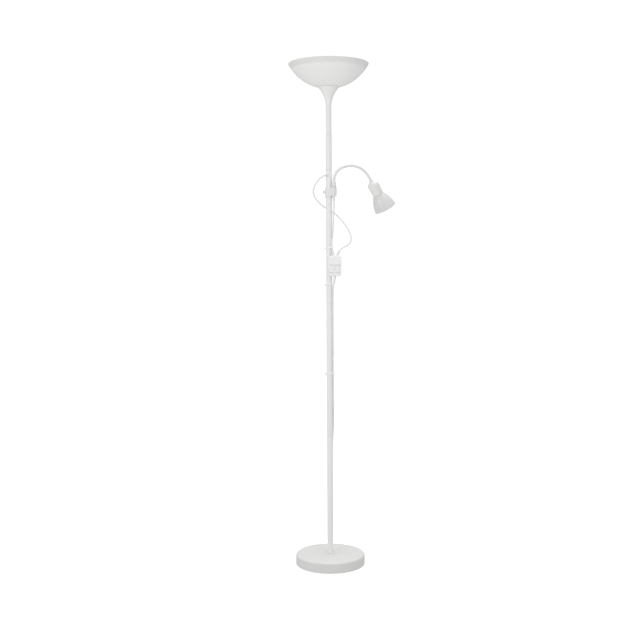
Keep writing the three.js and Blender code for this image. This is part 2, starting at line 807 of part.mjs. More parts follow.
function buildCordSleeves() {
  const top = SWITCH_CENTRE.z + SWITCH_SIZE.z / 2 + GAP;
  const bottom = SWITCH_CENTRE.z - SWITCH_SIZE.z / 2 - GAP;
  const below = box(60, 60, 40, SWITCH_CENTRE.x, SWITCH_CENTRE.y, top - 20);
  const above = box(60, 60, 40, SWITCH_CENTRE.x, SWITCH_CENTRE.y, bottom + 20);
  const sleeves = [
    ["switch_relief_uplight", UPLIGHT_CURVE, top - 2, 14, below],
    ["switch_relief_reading", READING_CURVE, top - 2, 14, below],
    ["switch_relief_mains", MAINS_CURVE, bottom + 2, -22, above],
  ];
  for (const [name, curve, start, reach, end] of sleeves) {
    const sleeve = cordSleeve(curve, fractionAt(curve, start), fractionAt(curve, start + reach), end);
    add(name, sleeve, SOFT_PLASTIC);
  }
}

function buildCords() {
  add("uplight_cord", sweep(UPLIGHT_CURVE, CORD_R, 40), SOFT_PLASTIC);
  const lead = through([
    [-2.2, -3.2, GROMMET_Z + 5],
    [-1, -1.5, 1430],
    [0, 0, POLE_TOP],
    [0, 0, 1600],
    [0, 0, NIPPLE_TOP - 2],
  ]);
  add("uplight_lead", sweep(lead, 2, 10, 8), SOFT_PLASTIC);

  // The reading cord is in two lengths, because the bracket slides and swivels above its first clip.
  const meeting = fractionAt(READING_CURVE, READING_JOIN_Z);
  const upper = stretch(READING_CURVE, 0, meeting - GAP / READING_CURVE.getLength());
  const lower = stretch(READING_CURVE, meeting, 1);
  add("reading_cord_upper", sweep(upper, CORD_R, 10), SOFT_PLASTIC);
  add("reading_cord_lower", sweep(lower, CORD_R, 16), SOFT_PLASTIC);

  const ring = coilRing(GAP);
  add("mains_cord", cut(sweep(MAINS_CURVE, CORD_R, 72), ring), SOFT_PLASTIC);
  add("mains_coil", coilRing(0), SOFT_PLASTIC);
  const plugFront = PLUG_START.x + 3;
  const beyond = box(60, 30, 30, plugFront + 30, PLUG_START.y, PLUG_START.z);
  add("mains_tail", cut(sweep(TAIL_CURVE, CORD_R, 14), ring, beyond), SOFT_PLASTIC);

  const strapWidth = 5;
  const strap = 0.5;
  const inner = COIL_TURN_R[0] - CORD_R - GAP;
  const outer = COIL_TURN_R[COIL_TURN_R.length - 1] + CORD_R + GAP;
  const low = COIL_BOTTOM - GAP;
  const high = COIL_BOTTOM + COIL_LAYERS * 2 * CORD_R + GAP;
  const middleR = (inner + outer) / 2;
  const middleZ = (low + high) / 2;
  const band = cut(
    box(outer - inner + 2 * strap, strapWidth, high - low + 2 * strap, middleR, 0, middleZ),
    box(outer - inner, strapWidth + 2, high - low, middleR, 0, middleZ),
  );
  const tieAzimuth = 160;
  band.rotateZ(rad(tieAzimuth)).translate(COIL_CENTRE.x, COIL_CENTRE.y, 0);
  add("cord_tie", band, RUBBER);
}

function coilRing(grow) {
  const inner = COIL_TURN_R[0] - CORD_R - grow;
  const outer = COIL_TURN_R[COIL_TURN_R.length - 1] + CORD_R + grow;
  const low = COIL_BOTTOM - grow;
  const high = COIL_BOTTOM + COIL_LAYERS * 2 * CORD_R + grow;
  const edge = 1.2;
  const ring = turned([[inner, low + edge], [inner + edge, low], [outer - edge, low], [outer, low + edge],
    [outer, high - edge], [outer - edge, high], [inner + edge, high], [inner, high - edge]], 36);
  return ring.translate(COIL_CENTRE.x, COIL_CENTRE.y, 0);
}

function buildPlug() {
  const { x, y, z } = PLUG_START;
  const reliefLength = 26;
  const bodyLength = 36;
  const half = 13.6 / 2;
  const rear = x + reliefLength;
  const front = rear + bodyLength;
  const bevel = 2;
  const outline = new THREE.Shape();
  outline.moveTo(rear, -6);
  outline.lineTo(rear + 10, -9);
  outline.lineTo(rear + 22, -15.5);
  outline.lineTo(front, -15.5);
  outline.lineTo(front, 15.5);
  outline.lineTo(rear + 22, 15.5);
  outline.lineTo(rear + 10, 9);
  outline.lineTo(rear, 6);
  const body = new THREE.ExtrudeGeometry(outline, {
    depth: 2 * (half - bevel),
    bevelThickness: bevel,
    bevelSize: bevel,
    bevelSegments: 2,
  });
  body.translate(0, y, z - half + bevel);
  const lie = (geometry, from) => geometry.rotateY(Math.PI / 2).translate(from, y, z);
  const reliefShape = turned(
    [
      [0, 0],
      [4.2, 0],
      [5.4, reliefLength],
      [5.4, reliefLength + 3],
      [0, reliefLength + 3],
    ],
    16,
  );
  const relief = lie(reliefShape, x);
  const bore = lie(disc(CORD_R + 0.6, -2, 3 + GAP, 12), x);
  const pinR = 2;
  const pinSide = 9.3;
  const pinHoles = [-pinSide, pinSide].map((side) =>
    lie(disc(pinR + GAP, bodyLength - 12, bodyLength + 6, 10), rear).translate(0, side, 0));
  add("mains_plug", cut(join(body, relief), bore, ...pinHoles), SOFT_PLASTIC);
  const pinBack = front + bevel - 10;
  for (const [name, side] of [["plug_pin_left", pinSide], ["plug_pin_right", -pinSide]]) {
    const pin = turned([[0, 0], [pinR, 0], [pinR, 27.5], [1.2, 29], [0, 29]], 12);
    add(name, lie(pin, pinBack).translate(0, side, 0), STEEL);
  }
}

// A spring clip grips the pole, and its eye holds the cord beside it.
function buildClips() {
  CLIP_HEIGHTS.forEach((height, i) => {
    const curve = i === 0 ? READING_CURVE : MAINS_CURVE;
    const cord = curve.getPointAt(fractionAt(curve, height));
    const low = height - CLIP_HEIGHT / 2;
    const high = height + CLIP_HEIGHT / 2;
    const innerR = POLE_R + GAP;
    const ring = tube(innerR + 1.7, innerR, low, high, 16);
    const ear = box(5, 1.8, CLIP_HEIGHT - 1, -innerR - 3.2, -4, height);
    const gapBox = box(8, 6.2, CLIP_HEIGHT + 2, -innerR - 0.6, 0.1, height);
    const eye = disc(CORD_R + 2.2, low, high, 12).translate(cord.x, cord.y, 0);
    const towards = Math.atan2(cord.y, cord.x);
    const distance = Math.hypot(cord.x, cord.y);
    const bridge = box(distance - innerR, 5, CLIP_HEIGHT, (distance + innerR) / 2, 0, height);
    bridge.rotateZ(towards);
    const spread = 9 / curve.getLength();
    const at = fractionAt(curve, height);
    const cordBore = sweep(stretch(curve, at - spread, at + spread), CORD_R + 0.8, 3, 8);
    const pole = disc(innerR, low - 1, high + 1, 16);
    add(`cord_clip_${i + 1}`, cut(join(ring, ear, eye, bridge), gapBox, pole, cordBore), SOFT_PLASTIC);
  });
}

buildBase();
buildPole();
buildStem();
buildUplight();
buildBracket();
buildNeck();
buildHead();
buildSwitch();
buildCordSleeves();
buildCords();
buildPlug();
buildClips();

export default lamp;
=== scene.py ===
"""The looks of a torchiere floor lamp with a reading arm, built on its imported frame.

Places are in metres in the frame's own axes: +Z up the pole, +X to the side of the reading head.
Outlines of turned pieces are in millimetres, because every dimension of the lamp is.
"""
import math

import bmesh
import bpy
import numpy as np
from mathutils import Matrix, Vector


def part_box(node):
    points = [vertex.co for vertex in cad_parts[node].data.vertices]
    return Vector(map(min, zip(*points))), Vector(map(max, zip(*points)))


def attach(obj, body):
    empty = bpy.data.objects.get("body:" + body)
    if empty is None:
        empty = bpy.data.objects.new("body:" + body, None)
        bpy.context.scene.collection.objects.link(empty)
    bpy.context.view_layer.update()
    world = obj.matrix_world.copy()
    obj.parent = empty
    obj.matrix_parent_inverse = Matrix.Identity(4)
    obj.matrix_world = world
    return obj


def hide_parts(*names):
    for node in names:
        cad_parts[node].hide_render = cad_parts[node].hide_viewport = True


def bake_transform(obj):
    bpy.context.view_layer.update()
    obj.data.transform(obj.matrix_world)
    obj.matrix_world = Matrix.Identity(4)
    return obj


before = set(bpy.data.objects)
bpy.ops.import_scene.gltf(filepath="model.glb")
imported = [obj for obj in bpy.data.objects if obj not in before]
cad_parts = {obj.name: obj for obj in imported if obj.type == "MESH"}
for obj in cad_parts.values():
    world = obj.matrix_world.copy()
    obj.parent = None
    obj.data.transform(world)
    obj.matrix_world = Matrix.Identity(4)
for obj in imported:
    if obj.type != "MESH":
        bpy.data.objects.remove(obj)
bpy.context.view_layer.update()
MM = 0.001

# ---- Driving dimensions, in metres unless a name says otherwise ----
CAMERA_HEIGHT = 1.0886
CAMERA_DISTANCE = 3.4516
CAMERA_TILT_DEG = 3.593
CAMERA_PAN_DEG = 0.551
CAMERA_ROLL_DEG = -0.27
LENS_MM = 55.25

CORD_R = 0.0028
NECK_R = 0.005
NECK_AZIMUTH_DEG = 30
NECK_FOOT_Z = 1.3548
NECK_ARCS = [(0.0533, 66), (0.101, 30), (0.085, 51.4)]  # radius and degrees turned
NECK_JOINTS = [0.003, 0.015, 0.041, 0.067, 0.093, 0.119, 0.145, 0.171, 0.1975]
NECK_LENGTH = 0.2015
HEAD_LENGTH = 0.114
SOCKET_REACH = 0.023
SOCKET_AZIMUTH_DEG = -41
SCREW_AZIMUTH_DEG = 150
GROMMET_AZIMUTH_DEG = 235
GROMMET_Z = 1.376
BRACKET_Z = 1.319
SWITCH_CENTRE = Vector((0.0197, -0.0212, 1.062))
ROCKER_OFFSET = 0.0104
ROCKER_DROP = 0.0105
CLIP_TILT_DEG = 8
COIL_CENTRE = Vector((-0.0336, 0.162, 0))
COIL_TURN_R = [0.0336, 0.028, 0.0224]
COIL_LAYERS_Z = [0.0093, 0.0037]
READING_JOIN_Z = 1.24
PLUG_START = Vector((0.014, 0.140, 0.007))
PLUG_RELIEF = 0.026
PLUG_BODY = 0.040
PIN_SPREAD = 0.0093
SWITCH_WIDTH = 0.046
SWITCH_HEIGHT = 0.072
SWITCH_CORNER = 0.009
POLE_SEAMS = [0.085, 0.462, 0.929, 1.396, 1.520]
PAINTED_RIM_SHADE_LOW = 1.739
PAINTED_RIM_SHADE_HIGH = 1.7455  # painted shade: the bowl's outside is a little darker from here up to its rim

# ---- The reading bell, in millimetres ----
BELL_RIM_R = 40.3
BELL_TOP_R = 19.8
BELL_LENGTH = 56
BELL_WALL = 1.6
BELL_BELLY = (0.918, 0.562)  # how full the bell is, as shares of its rim radius and length

# ---- Light ----
FLOOR_GLOW = 0.75
FLOOR_Z = -0.0005
SKY_BELOW = 0.78
SKY_HORIZON = 0.6
SKY_ABOVE = 0.8
SKY_LEFT = 1.12
SKY_RIGHT = 0.96
KEY_POWER = 9.0
FILL_POWER = 4.8
TOP_POWER = 50

# ---- Cord routes, the same points as the frame's ----
UPLIGHT_ROUTE = [
    (-0.0049, -0.007, 1.376), (-0.0092, -0.0131, 1.376), (-0.0134, -0.0188, 1.3754),
    (-0.0208, -0.0236, 1.372), (-0.0305, -0.0253, 1.365), (-0.041, -0.0235, 1.353),
    (-0.05, -0.0188, 1.338), (-0.0544, -0.0125, 1.321), (-0.0506, -0.005, 1.3045),
    (-0.041, 0.0025, 1.29), (-0.027, 0.01, 1.276), (-0.012, 0.0146, 1.265),
    (0.003, 0.0156, 1.2565), (0.0175, 0.013, 1.248), (0.031, 0.0075, 1.2355),
    (0.045, 0.0015, 1.22), (0.058, -0.0045, 1.203), (0.069, -0.01, 1.184),
    (0.076, -0.0145, 1.164), (0.075, -0.0175, 1.147), (0.0655, -0.019, 1.1345),
    (0.052, -0.0194, 1.127), (0.0396, -0.0194, 1.1185), (0.0316, -0.0194, 1.107),
    (0.0292, -0.0194, 1.096), (0.0292, -0.0194, 1.084),
]
READING_ROUTE = [
    (0.01736, -0.01509, 1.312), (0.01736, -0.01509, 1.288), (0.0172, -0.0136, 1.27),
    (0.0162, -0.0108, 1.248), (0.0152, -0.0086, 1.224), (0.014, -0.0076, 1.196),
    (0.012, -0.008, 1.168), (0.0096, -0.0099, 1.145), (0.0102, -0.0124, 1.128),
    (0.0126, -0.0159, 1.114), (0.0148, -0.0186, 1.101), (0.0152, -0.0194, 1.084),
]
MAINS_ROUTE = [
    (0.0197, -0.0194, 1.036), (0.0196, -0.0189, 1.026), (0.0186, -0.0165, 1.015),
    (0.0167, -0.0126, 1.004), (0.0146, -0.0088, 0.993), (0.0132, -0.0063, 0.978),
    (0.0126, -0.0057, 0.955), (0.0126, -0.0057, 0.82), (0.0126, -0.0057, 0.683),
    (0.0136, -0.0022, 0.61), (0.0129, 0.0049, 0.52), (0.0094, 0.0102, 0.442),
    (0.005, 0.0129, 0.353), (0.0016, 0.0138, 0.26), (0, 0.0139, 0.16),
    (0, 0.014, 0.09), (0, 0.0144, 0.066), (0, 0.0176, 0.053),
    (0, 0.026, 0.0442), (0, 0.038, 0.0415), (0, 0.06, 0.0412),
    (0, 0.09, 0.0414), (0, 0.112, 0.0418), (0, 0.1225, 0.0412),
    (0, 0.1315, 0.0362), (0, 0.138, 0.029), (0, 0.1415, 0.0218),
    (0, 0.1475, 0.0146), (0, 0.155, 0.0106), (0, 0.162, 0.0093),
]
TAIL_ROUTE = [
    (-0.0336, 0.1284, 0.0037), (-0.025, 0.1284, 0.0037), (-0.014, 0.1292, 0.0039),
    (-0.004, 0.1322, 0.0047), (0.004, 0.1362, 0.0058), (0.012, 0.1393, 0.0068),
    (0.02, 0.14, 0.007), (0.03, 0.14, 0.007),
]


# ---- Curves ----
def smooth_line(points, spacing=0.0015):
    """Evenly spaced points on the centripetal Catmull-Rom curve through these points."""
    control = [Vector(p) for p in points]
    control = [2 * control[0] - control[1], *control, 2 * control[-1] - control[-2]]
    dense = []
    for p0, p1, p2, p3 in zip(control, control[1:], control[2:], control[3:]):
        knots = [0.0]
        for a, b in ((p0, p1), (p1, p2), (p2, p3)):
            knots.append(knots[-1] + max((b - a).length, 1e-7) ** 0.5)
        t0, t1, t2, t3 = knots
        steps = max(6, int((p2 - p1).length / 0.0008))
        for i in range(steps):
            t = t1 + (t2 - t1) * i / steps
            a1 = p0 * ((t1 - t) / (t1 - t0)) + p1 * ((t - t0) / (t1 - t0))
            a2 = p1 * ((t2 - t) / (t2 - t1)) + p2 * ((t - t1) / (t2 - t1))
            a3 = p2 * ((t3 - t) / (t3 - t2)) + p3 * ((t - t2) / (t3 - t2))
            b1 = a1 * ((t2 - t) / (t2 - t0)) + a2 * ((t - t0) / (t2 - t0))
            b2 = a2 * ((t3 - t) / (t3 - t1)) + a3 * ((t - t1) / (t3 - t1))
            dense.append(b1 * ((t2 - t) / (t2 - t1)) + b2 * ((t - t1) / (t2 - t1)))
    dense.append(control[-2])
    return spaced([tuple(p) for p in dense], spacing)


def spaced(points, spacing):
    """The same line with its points this far apart."""
    line = np.array(points, float)
    along = np.concatenate([[0], np.cumsum(np.linalg.norm(np.diff(line, axis=0), axis=1))])
    count = max(2, int(round(along[-1] / spacing)) + 1)
    at = np.linspace(0, along[-1], count)
    return np.stack([np.interp(at, along, line[:, k]) for k in range(3)], axis=1)


def polar(radius, azimuth_deg, z=0.0):
    angle = math.radians(azimuth_deg)
    return Vector((radius * math.cos(angle), radius * math.sin(angle), z))


SOCKET = polar(SOCKET_REACH, SOCKET_AZIMUTH_DEG)  # where the neck stands, seen from above


# ---- Mesh helpers ----
def make_piece(name, vertices, faces, material, sharp_deg=35):
    mesh = bpy.data.meshes.new(name)
    mesh.from_pydata([tuple(v) for v in vertices], [], faces)
    piece = bpy.data.objects.new(name, mesh)
    bpy.context.collection.objects.link(piece)
    mesh.materials.append(material)
    clean(piece, sharp_deg)
    return piece


def clean(piece, sharp_deg=35):
    """Merges doubled points, points the faces outwards, and keeps edges crisp where they turn sharply."""
    work = bmesh.new()
    work.from_mesh(piece.data)
    bmesh.ops.remove_doubles(work, verts=work.verts, dist=1e-6)
    bmesh.ops.recalc_face_normals(work, faces=work.faces)
    for face in work.faces:
        face.smooth = True
    for edge in work.edges:
        edge.smooth = len(edge.link_faces) == 2 and edge.calc_face_angle() < math.radians(sharp_deg)
    work.to_mesh(piece.data)
    work.free()
    piece.data.update()


def filleted(outline, closed):
    """Rounds an outline's corners. A point is (across, up) or (across, up, corner radius)."""
    line = []
    count = len(outline)
    for i, point in enumerate(outline):
        corner = np.array(point[:2], float)
        radius = point[2] if len(point) > 2 else 0
        if not radius or (not closed and i in (0, count - 1)):
            line.append(corner)
            continue
        before = np.array(outline[i - 1][:2], float) - corner
        after = np.array(outline[(i + 1) % count][:2], float) - corner
        reach_before, reach_after = np.linalg.norm(before), np.linalg.norm(after)
        before, after = before / reach_before, after / reach_after
        angle = math.acos(float(np.clip(before @ after, -1, 1)))
        turn = math.pi - angle
        if turn < 0.02:
            line.append(corner)
            continue
        back = min(radius / math.tan(angle / 2), 0.49 * reach_before, 0.49 * reach_after)
        middle = corner + (before + after) / np.linalg.norm(before + after) * back / math.cos(angle / 2)
        start, end = corner + before * back - middle, corner + after * back - middle
        steps = max(2, math.ceil(turn / math.radians(15)))
        for k in range(steps + 1):
            share = k / steps
            mix = math.sin((1 - share) * turn) * start + math.sin(share * turn) * end
            line.append(middle + mix / math.sin(turn))
    return line


def circle(radius, up, segments, place=Matrix()):
    """Points round +Z, from millimetres. The radius is a number, or one number for each point."""
    points = []
    for k, size in enumerate(np.broadcast_to(radius, segments)):
        angle = 2 * math.pi * k / segments
        points.append(place @ Vector((size * MM * math.cos(angle), size * MM * math.sin(angle), up * MM)))
    return points


def lathe(name, outline, material, segments=96, place=Matrix(), sharp_deg=35):
    """A turned piece about +Z. Its outline, in millimetres, is closed unless both ends are on the axis."""
    on_axis = outline[0][0] == 0 and outline[-1][0] == 0
    vertices, rings = [], []
    for across, up in filleted(outline, not on_axis):
        if across < 1e-6:
            rings.append([len(vertices)] * segments)
            vertices.append(place @ Vector((0, 0, up * MM)))
            continue
        rings.append(list(range(len(vertices), len(vertices) + segments)))
        vertices += circle(across, up, segments, place)
    pairs = list(zip(rings, rings[1:]))
    if not on_axis:
        pairs.append((rings[-1], rings[0]))
    return make_piece(name, vertices, ring_faces(pairs, segments), material, sharp_deg)


def ring_faces(pairs, segments):
    faces = []
    for low, high in pairs:
        for k in range(segments):
            after = (k + 1) % segments
            corners = [low[k], low[after], high[after], high[k]]
            face = [c for i, c in enumerate(corners) if c not in corners[:i]]
            if len(face) > 2:
                faces.append(face)
    return faces


def loft(name, outlines, material, sharp_deg=35, ends_meet=False):
    """A closed skin through outlines with the same number of points. It is capped, unless its ends meet."""
    count = len(outlines[0])
    vertices = [p for outline in outlines for p in outline]
    rings = [list(range(i * count, (i + 1) * count)) for i in range(len(outlines))]
    pairs = list(zip(rings, rings[1:]))
    if ends_meet:
        pairs.append((rings[-1], rings[0]))
    faces = ring_faces(pairs, count)
    if not ends_meet:
        faces += [rings[0][::-1], rings[-1]]
    return make_piece(name, vertices, faces, material, sharp_deg)


def sweep(name, points, radius, material, sides=20, sharp_deg=60):
    """A round closed tube along points. The radius is a number, or one number for each point."""
    line = np.array(points, float)
    radii = np.broadcast_to(radius, len(line))
    tangents = np.gradient(line, axis=0)
    tangents /= np.linalg.norm(tangents, axis=1)[:, None]
    across = np.cross(tangents[0], (0.37, 0.21, 0.9))
    outlines = []
    for point, tangent, size in zip(line, tangents, radii):
        across = across - tangent * (across @ tangent)
        across /= np.linalg.norm(across)
        up = np.cross(tangent, across)
        turn = np.linspace(0, 2 * math.pi, sides, endpoint=False)
        outlines.append([point + size * (math.cos(a) * across + math.sin(a) * up) for a in turn])
    return loft(name, outlines, material, sharp_deg)


def rounded_box(name, size, radius, place, material, segments=4):
    work = bmesh.new()
    bmesh.ops.create_cube(work, size=1)
    bmesh.ops.scale(work, vec=size, verts=work.verts)
    bmesh.ops.bevel(work, geom=work.edges, offset=radius, segments=segments, profile=0.5, affect="EDGES")
    bmesh.ops.transform(work, matrix=place, verts=work.verts)
    vertices = [v.co.copy() for v in work.verts]
    work.verts.index_update()
    faces = [[v.index for v in f.verts] for f in work.faces]
    work.free()
    return make_piece(name, vertices, faces, material)


def rounded_plate(width, height, corner, points_per_corner=8):
    """The outline of a plate with round corners, counter-clockwise, as (across, up) pairs."""
    outline = []
    for index, (sx, sy) in enumerate(((1, 1), (-1, 1), (-1, -1), (1, -1))):
        for k in range(points_per_corner + 1):
            angle = math.pi / 2 * (index + k / points_per_corner)
            outline.append((
                sx * (width / 2 - corner) + corner * math.cos(angle),
                sy * (height / 2 - corner) + corner * math.sin(angle),
            ))
    return outline


def settle(piece):
    """Bakes the modifiers into the piece's own mesh."""
    seen = piece.evaluated_get(bpy.context.evaluated_depsgraph_get())
    mesh = bpy.data.meshes.new_from_object(seen)
    piece.modifiers.clear()
    piece.data = mesh
    return piece


def combine(piece, tools, operation):
    """Joins other closed pieces to this one, or cuts them out of it, and removes them."""
    for tool in tools:
        step = piece.modifiers.new("combine", "BOOLEAN")
        step.operation = operation
        step.solver = "EXACT"
        step.object = tool
    settle(piece)
    for tool in tools:
        bpy.data.objects.remove(tool, do_unlink=True)
    clean(piece)
    return piece


def melt(piece, grain, rounds=6):
    """Melts a joined piece into one moulded skin whose inner corners are slightly rounded."""
    skin = piece.modifiers.new("skin", "REMESH")
    skin.mode = "VOXEL"
    skin.voxel_size = grain
    ease = piece.modifiers.new("ease", "SMOOTH")
    ease.factor = 0.5
    ease.iterations = rounds
    settle(piece)
    clean(piece, 60)
    return piece


def along_axis(origin, axis):
    """Places something made about +Z so that its axis points this way from this origin."""
    return Matrix.Translation(Vector(origin)) @ Vector(axis).to_track_quat("Z", "Y").to_matrix().to_4x4()


def stands_for(piece, body, slot, *nodes):
    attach(piece, body)
    if nodes:
        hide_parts(*nodes)
    return piece


def turned(name, outline, material, segments, body, slot, *nodes, place=Matrix(), sharp_deg=35):
    """A turned piece that nothing more is done to."""
    return stands_for(lathe(name, outline, material, segments, place, sharp_deg), body, slot, *nodes)


# ---- Materials ----
def new_material(name, colour, roughness, metallic=0.0):
    material = bpy.data.materials.new(name)
    material.use_nodes = True
    shader = material.node_tree.nodes["Principled BSDF"]
    shader.inputs["Base Color"].default_value = (*colour, 1)
    shader.inputs["Roughness"].default_value = roughness
    shader.inputs["Metallic"].default_value = metallic
    return material, shader


def add_node(shader, kind, **inputs):
    """A node beside the shader. An input's name has _ here for each space in it."""
    node = shader.id_data.nodes.new("ShaderNode" + kind)
    for name, value in inputs.items():
        node.inputs[name.replace("_", " ")].default_value = value
    return node


def join(output, socket):
    socket.id_data.links.new(output, socket)


def add_noise(shader, scale, detail=3.0, stretch=(1, 1, 1)):
    """A noise in the piece's own coordinates. The scale is in waves for each metre."""
    place = add_node(shader, "TexCoord")
    mapping = add_node(shader, "Mapping", Scale=stretch)
    noise = add_node(shader, "TexNoise", Scale=scale, Detail=detail)
    join(place.outputs["Object"], mapping.inputs["Vector"])
    join(mapping.outputs["Vector"], noise.inputs["Vector"])
    return noise.outputs["Fac"]


def vary_colour(shader, fac, dark, light):
    ramp = add_node(shader, "ValToRGB")
    for stop, position, colour in zip(ramp.color_ramp.elements, (0.3, 0.7), (dark, light)):
        stop.position = position
        stop.color = (*colour, 1)
    join(fac, ramp.inputs["Fac"])
    join(ramp.outputs["Color"], shader.inputs["Base Color"])


def paint_shade_above(shader, low, high, share):
    """Paints shade: lowers the colour to this share of itself where the piece is higher than `high`, in
    metres.
    """
    place = add_node(shader, "TexCoord")
    parts = add_node(shader, "SeparateXYZ")
    span = add_node(shader, "MapRange", From_Min=low, From_Max=high, To_Min=1, To_Max=share)
    level = add_node(shader, "HueSaturation")
    join(place.outputs["Object"], parts.inputs["Vector"])
    join(parts.outputs["Z"], span.inputs["Value"])
    join(span.outputs["Result"], level.inputs["Value"])
    join(shader.inputs["Base Color"].links[0].from_socket, level.inputs["Color"])
    join(level.outputs["Color"], shader.inputs["Base Color"])


def vary_roughness(shader, fac, low, high):
    span = add_node(shader, "MapRange", To_Min=low, To_Max=high)
    join(fac, span.inputs["Value"])
    join(span.outputs["Result"], shader.inputs["Roughness"])


def add_bump(shader, *layers):
    """Stacks bumps. A layer is (height, strength, depth in metres)."""
    normal = None
    for height, strength, depth in layers:
        bump = add_node(shader, "Bump", Strength=strength, Distance=depth)
        join(height, bump.inputs["Height"])
        if normal is not None:
            join(normal, bump.inputs["Normal"])
        normal = bump.outputs["Normal"]
    join(normal, shader.inputs["Normal"])


def let_light_in(shader, weight, radius, scale):
    """Scatters light under the skin, over these distances for red, green and blue."""
    shader.inputs["Subsurface Weight"].default_value = weight
    shader.inputs["Subsurface Radius"].default_value = radius
    shader.inputs["Subsurface Scale"].default_value = scale


def powder_coat(name, tone):
    """White powder coat on steel: satin, with a fine orange peel and a slow drift in tone."""
    material, shader = new_material(name, (tone, tone, tone * 0.99), 0.4)
    drift = tuple(tone * share for share in (0.985, 0.985, 0.974))
    vary_colour(shader, add_noise(shader, 9), drift, (tone * 1.01, tone * 1.01, tone))
    vary_roughness(shader, add_noise(shader, 60), 0.34, 0.46)
    peel = add_noise(shader, 650, 2)
    dust = add_noise(shader, 2600, 1)
    add_bump(shader, (peel, 0.25, 0.00012), (dust, 0.12, 0.00003))
    shader.inputs["Coat Weight"].default_value = 0.08
    shader.inputs["Coat Roughness"].default_value = 0.25
    return material


def moulded(name, colour, roughness, grain=1500, sink=0.0):
    """Moulded plastic: spark-eroded grain, a slow drift in tone, and gloss that is not quite even."""
    material, shader = new_material(name, colour, roughness)
    dark = tuple(c * 0.975 for c in colour)
    light = tuple(min(1, c * 1.02) for c in colour)
    vary_colour(shader, add_noise(shader, 26), dark, light)
    vary_roughness(shader, add_noise(shader, 140), roughness - 0.05, roughness + 0.07)
    layers = [(add_noise(shader, grain, 2), 0.3, 0.00005)]
    if sink:
        layers.append((add_noise(shader, 45, 1), 0.2, sink))
    add_bump(shader, *layers)
    let_light_in(shader, 0.05, (0.004, 0.003, 0.002), 0.3)
    return material


def shade_plastic():
    """The bowl's opal-white plastic: smooth outside, with the faint waviness of a large moulding, and a
    band of painted shade below its rim.
    """
    material, shader = new_material("shade_plastic", (0.87, 0.87, 0.86), 0.3)
    vary_colour(shader, add_noise(shader, 7), (0.855, 0.855, 0.847), (0.882, 0.882, 0.874))
    # Painted shade: a darker band on the bowl's outside just below its rim.
    paint_shade_above(shader, PAINTED_RIM_SHADE_LOW, PAINTED_RIM_SHADE_HIGH, 0.9)
    vary_roughness(shader, add_noise(shader, 80), 0.27, 0.37)
    waves = add_noise(shader, 18, 1)
    grain = add_noise(shader, 1900, 1)
    add_bump(shader, (waves, 0.2, 0.0006), (grain, 0.15, 0.00003))
    let_light_in(shader, 0.12, (0.006, 0.005, 0.004), 0.5)
    return material


def cord_sheath():
    """Soft PVC: drawn lengthwise marks, slightly waxy."""
    material, shader = new_material("cord_sheath", (0.82, 0.82, 0.81), 0.48)
    vary_colour(shader, add_noise(shader, 40), (0.805, 0.805, 0.795), (0.835, 0.835, 0.825))
    vary_roughness(shader, add_noise(shader, 300), 0.42, 0.56)
    add_bump(shader, (add_noise(shader, 900, 2, (1, 1, 0.12)), 0.25, 0.00006))
    shader.inputs["Sheen Weight"].default_value = 0.05
    return material


def plated_steel():
    material, shader = new_material("plated_steel", (0.66, 0.67, 0.69), 0.28, 1.0)
    vary_roughness(shader, add_noise(shader, 400), 0.2, 0.36)
    add_bump(shader, (add_noise(shader, 1200, 2, (1, 1, 0.1)), 0.2, 0.00002))
    return material


def cast_iron():
    material, shader = new_material("cast_iron", (0.07, 0.07, 0.072), 0.7, 0.6)
    vary_colour(shader, add_noise(shader, 220, 6), (0.05, 0.05, 0.052), (0.1, 0.098, 0.095))
    add_bump(shader, (add_noise(shader, 500, 6), 0.5, 0.0004))
    return material


def foam_rubber():
    material, shader = new_material("foam_rubber", (0.06, 0.06, 0.063), 0.85)
    vary_colour(shader, add_noise(shader, 500, 4), (0.045, 0.045, 0.048), (0.08, 0.08, 0.083))
    add_bump(shader, (add_noise(shader, 1100, 4), 0.5, 0.0003))
    return material


def opal_glass():
    """The bulbs' frosted opal skin."""
    material, shader = new_material("opal_glass", (0.86, 0.86, 0.83), 0.42)
    vary_colour(shader, add_noise(shader, 60), (0.84, 0.84, 0.81), (0.88, 0.88, 0.85))
    add_bump(shader, (add_noise(shader, 2200, 2), 0.2, 0.00003))
    let_light_in(shader, 0.3, (0.01, 0.01, 0.009), 0.5)
    return material


PAINT = powder_coat("powder_coat", 0.86)
# The base is the same white paint as the pole; this darker copy of it is painted shade.
SHADED_BASE_PAINT = powder_coat("base_powder_coat_painted_shade", 0.725)
SHADE = shade_plastic()
PLASTIC = moulded("arm_plastic", (0.825, 0.825, 0.816), 0.36, sink=0.0003)
# The bell is the same white plastic as the arm; this darker copy of it is painted shade.
SHADED_HEAD_PLASTIC = moulded("head_plastic_painted_shade", (0.73, 0.73, 0.722), 0.33, grain=1700, sink=0.0004)
SWITCH_PLASTIC = moulded("switch_plastic", (0.91, 0.91, 0.9), 0.34)
ROCKER_PLASTIC = moulded("rocker_plastic", (0.92, 0.92, 0.91), 0.28)
CLIP_PLASTIC = moulded("clip_plastic", (0.9, 0.9, 0.89), 0.4)
SOFT = moulded("soft_plastic", (0.83, 0.83, 0.82), 0.5, grain=1100)
CORD = cord_sheath()
STEEL = plated_steel()
IRON = cast_iron()
FOAM = foam_rubber()
OPAL = opal_glass()


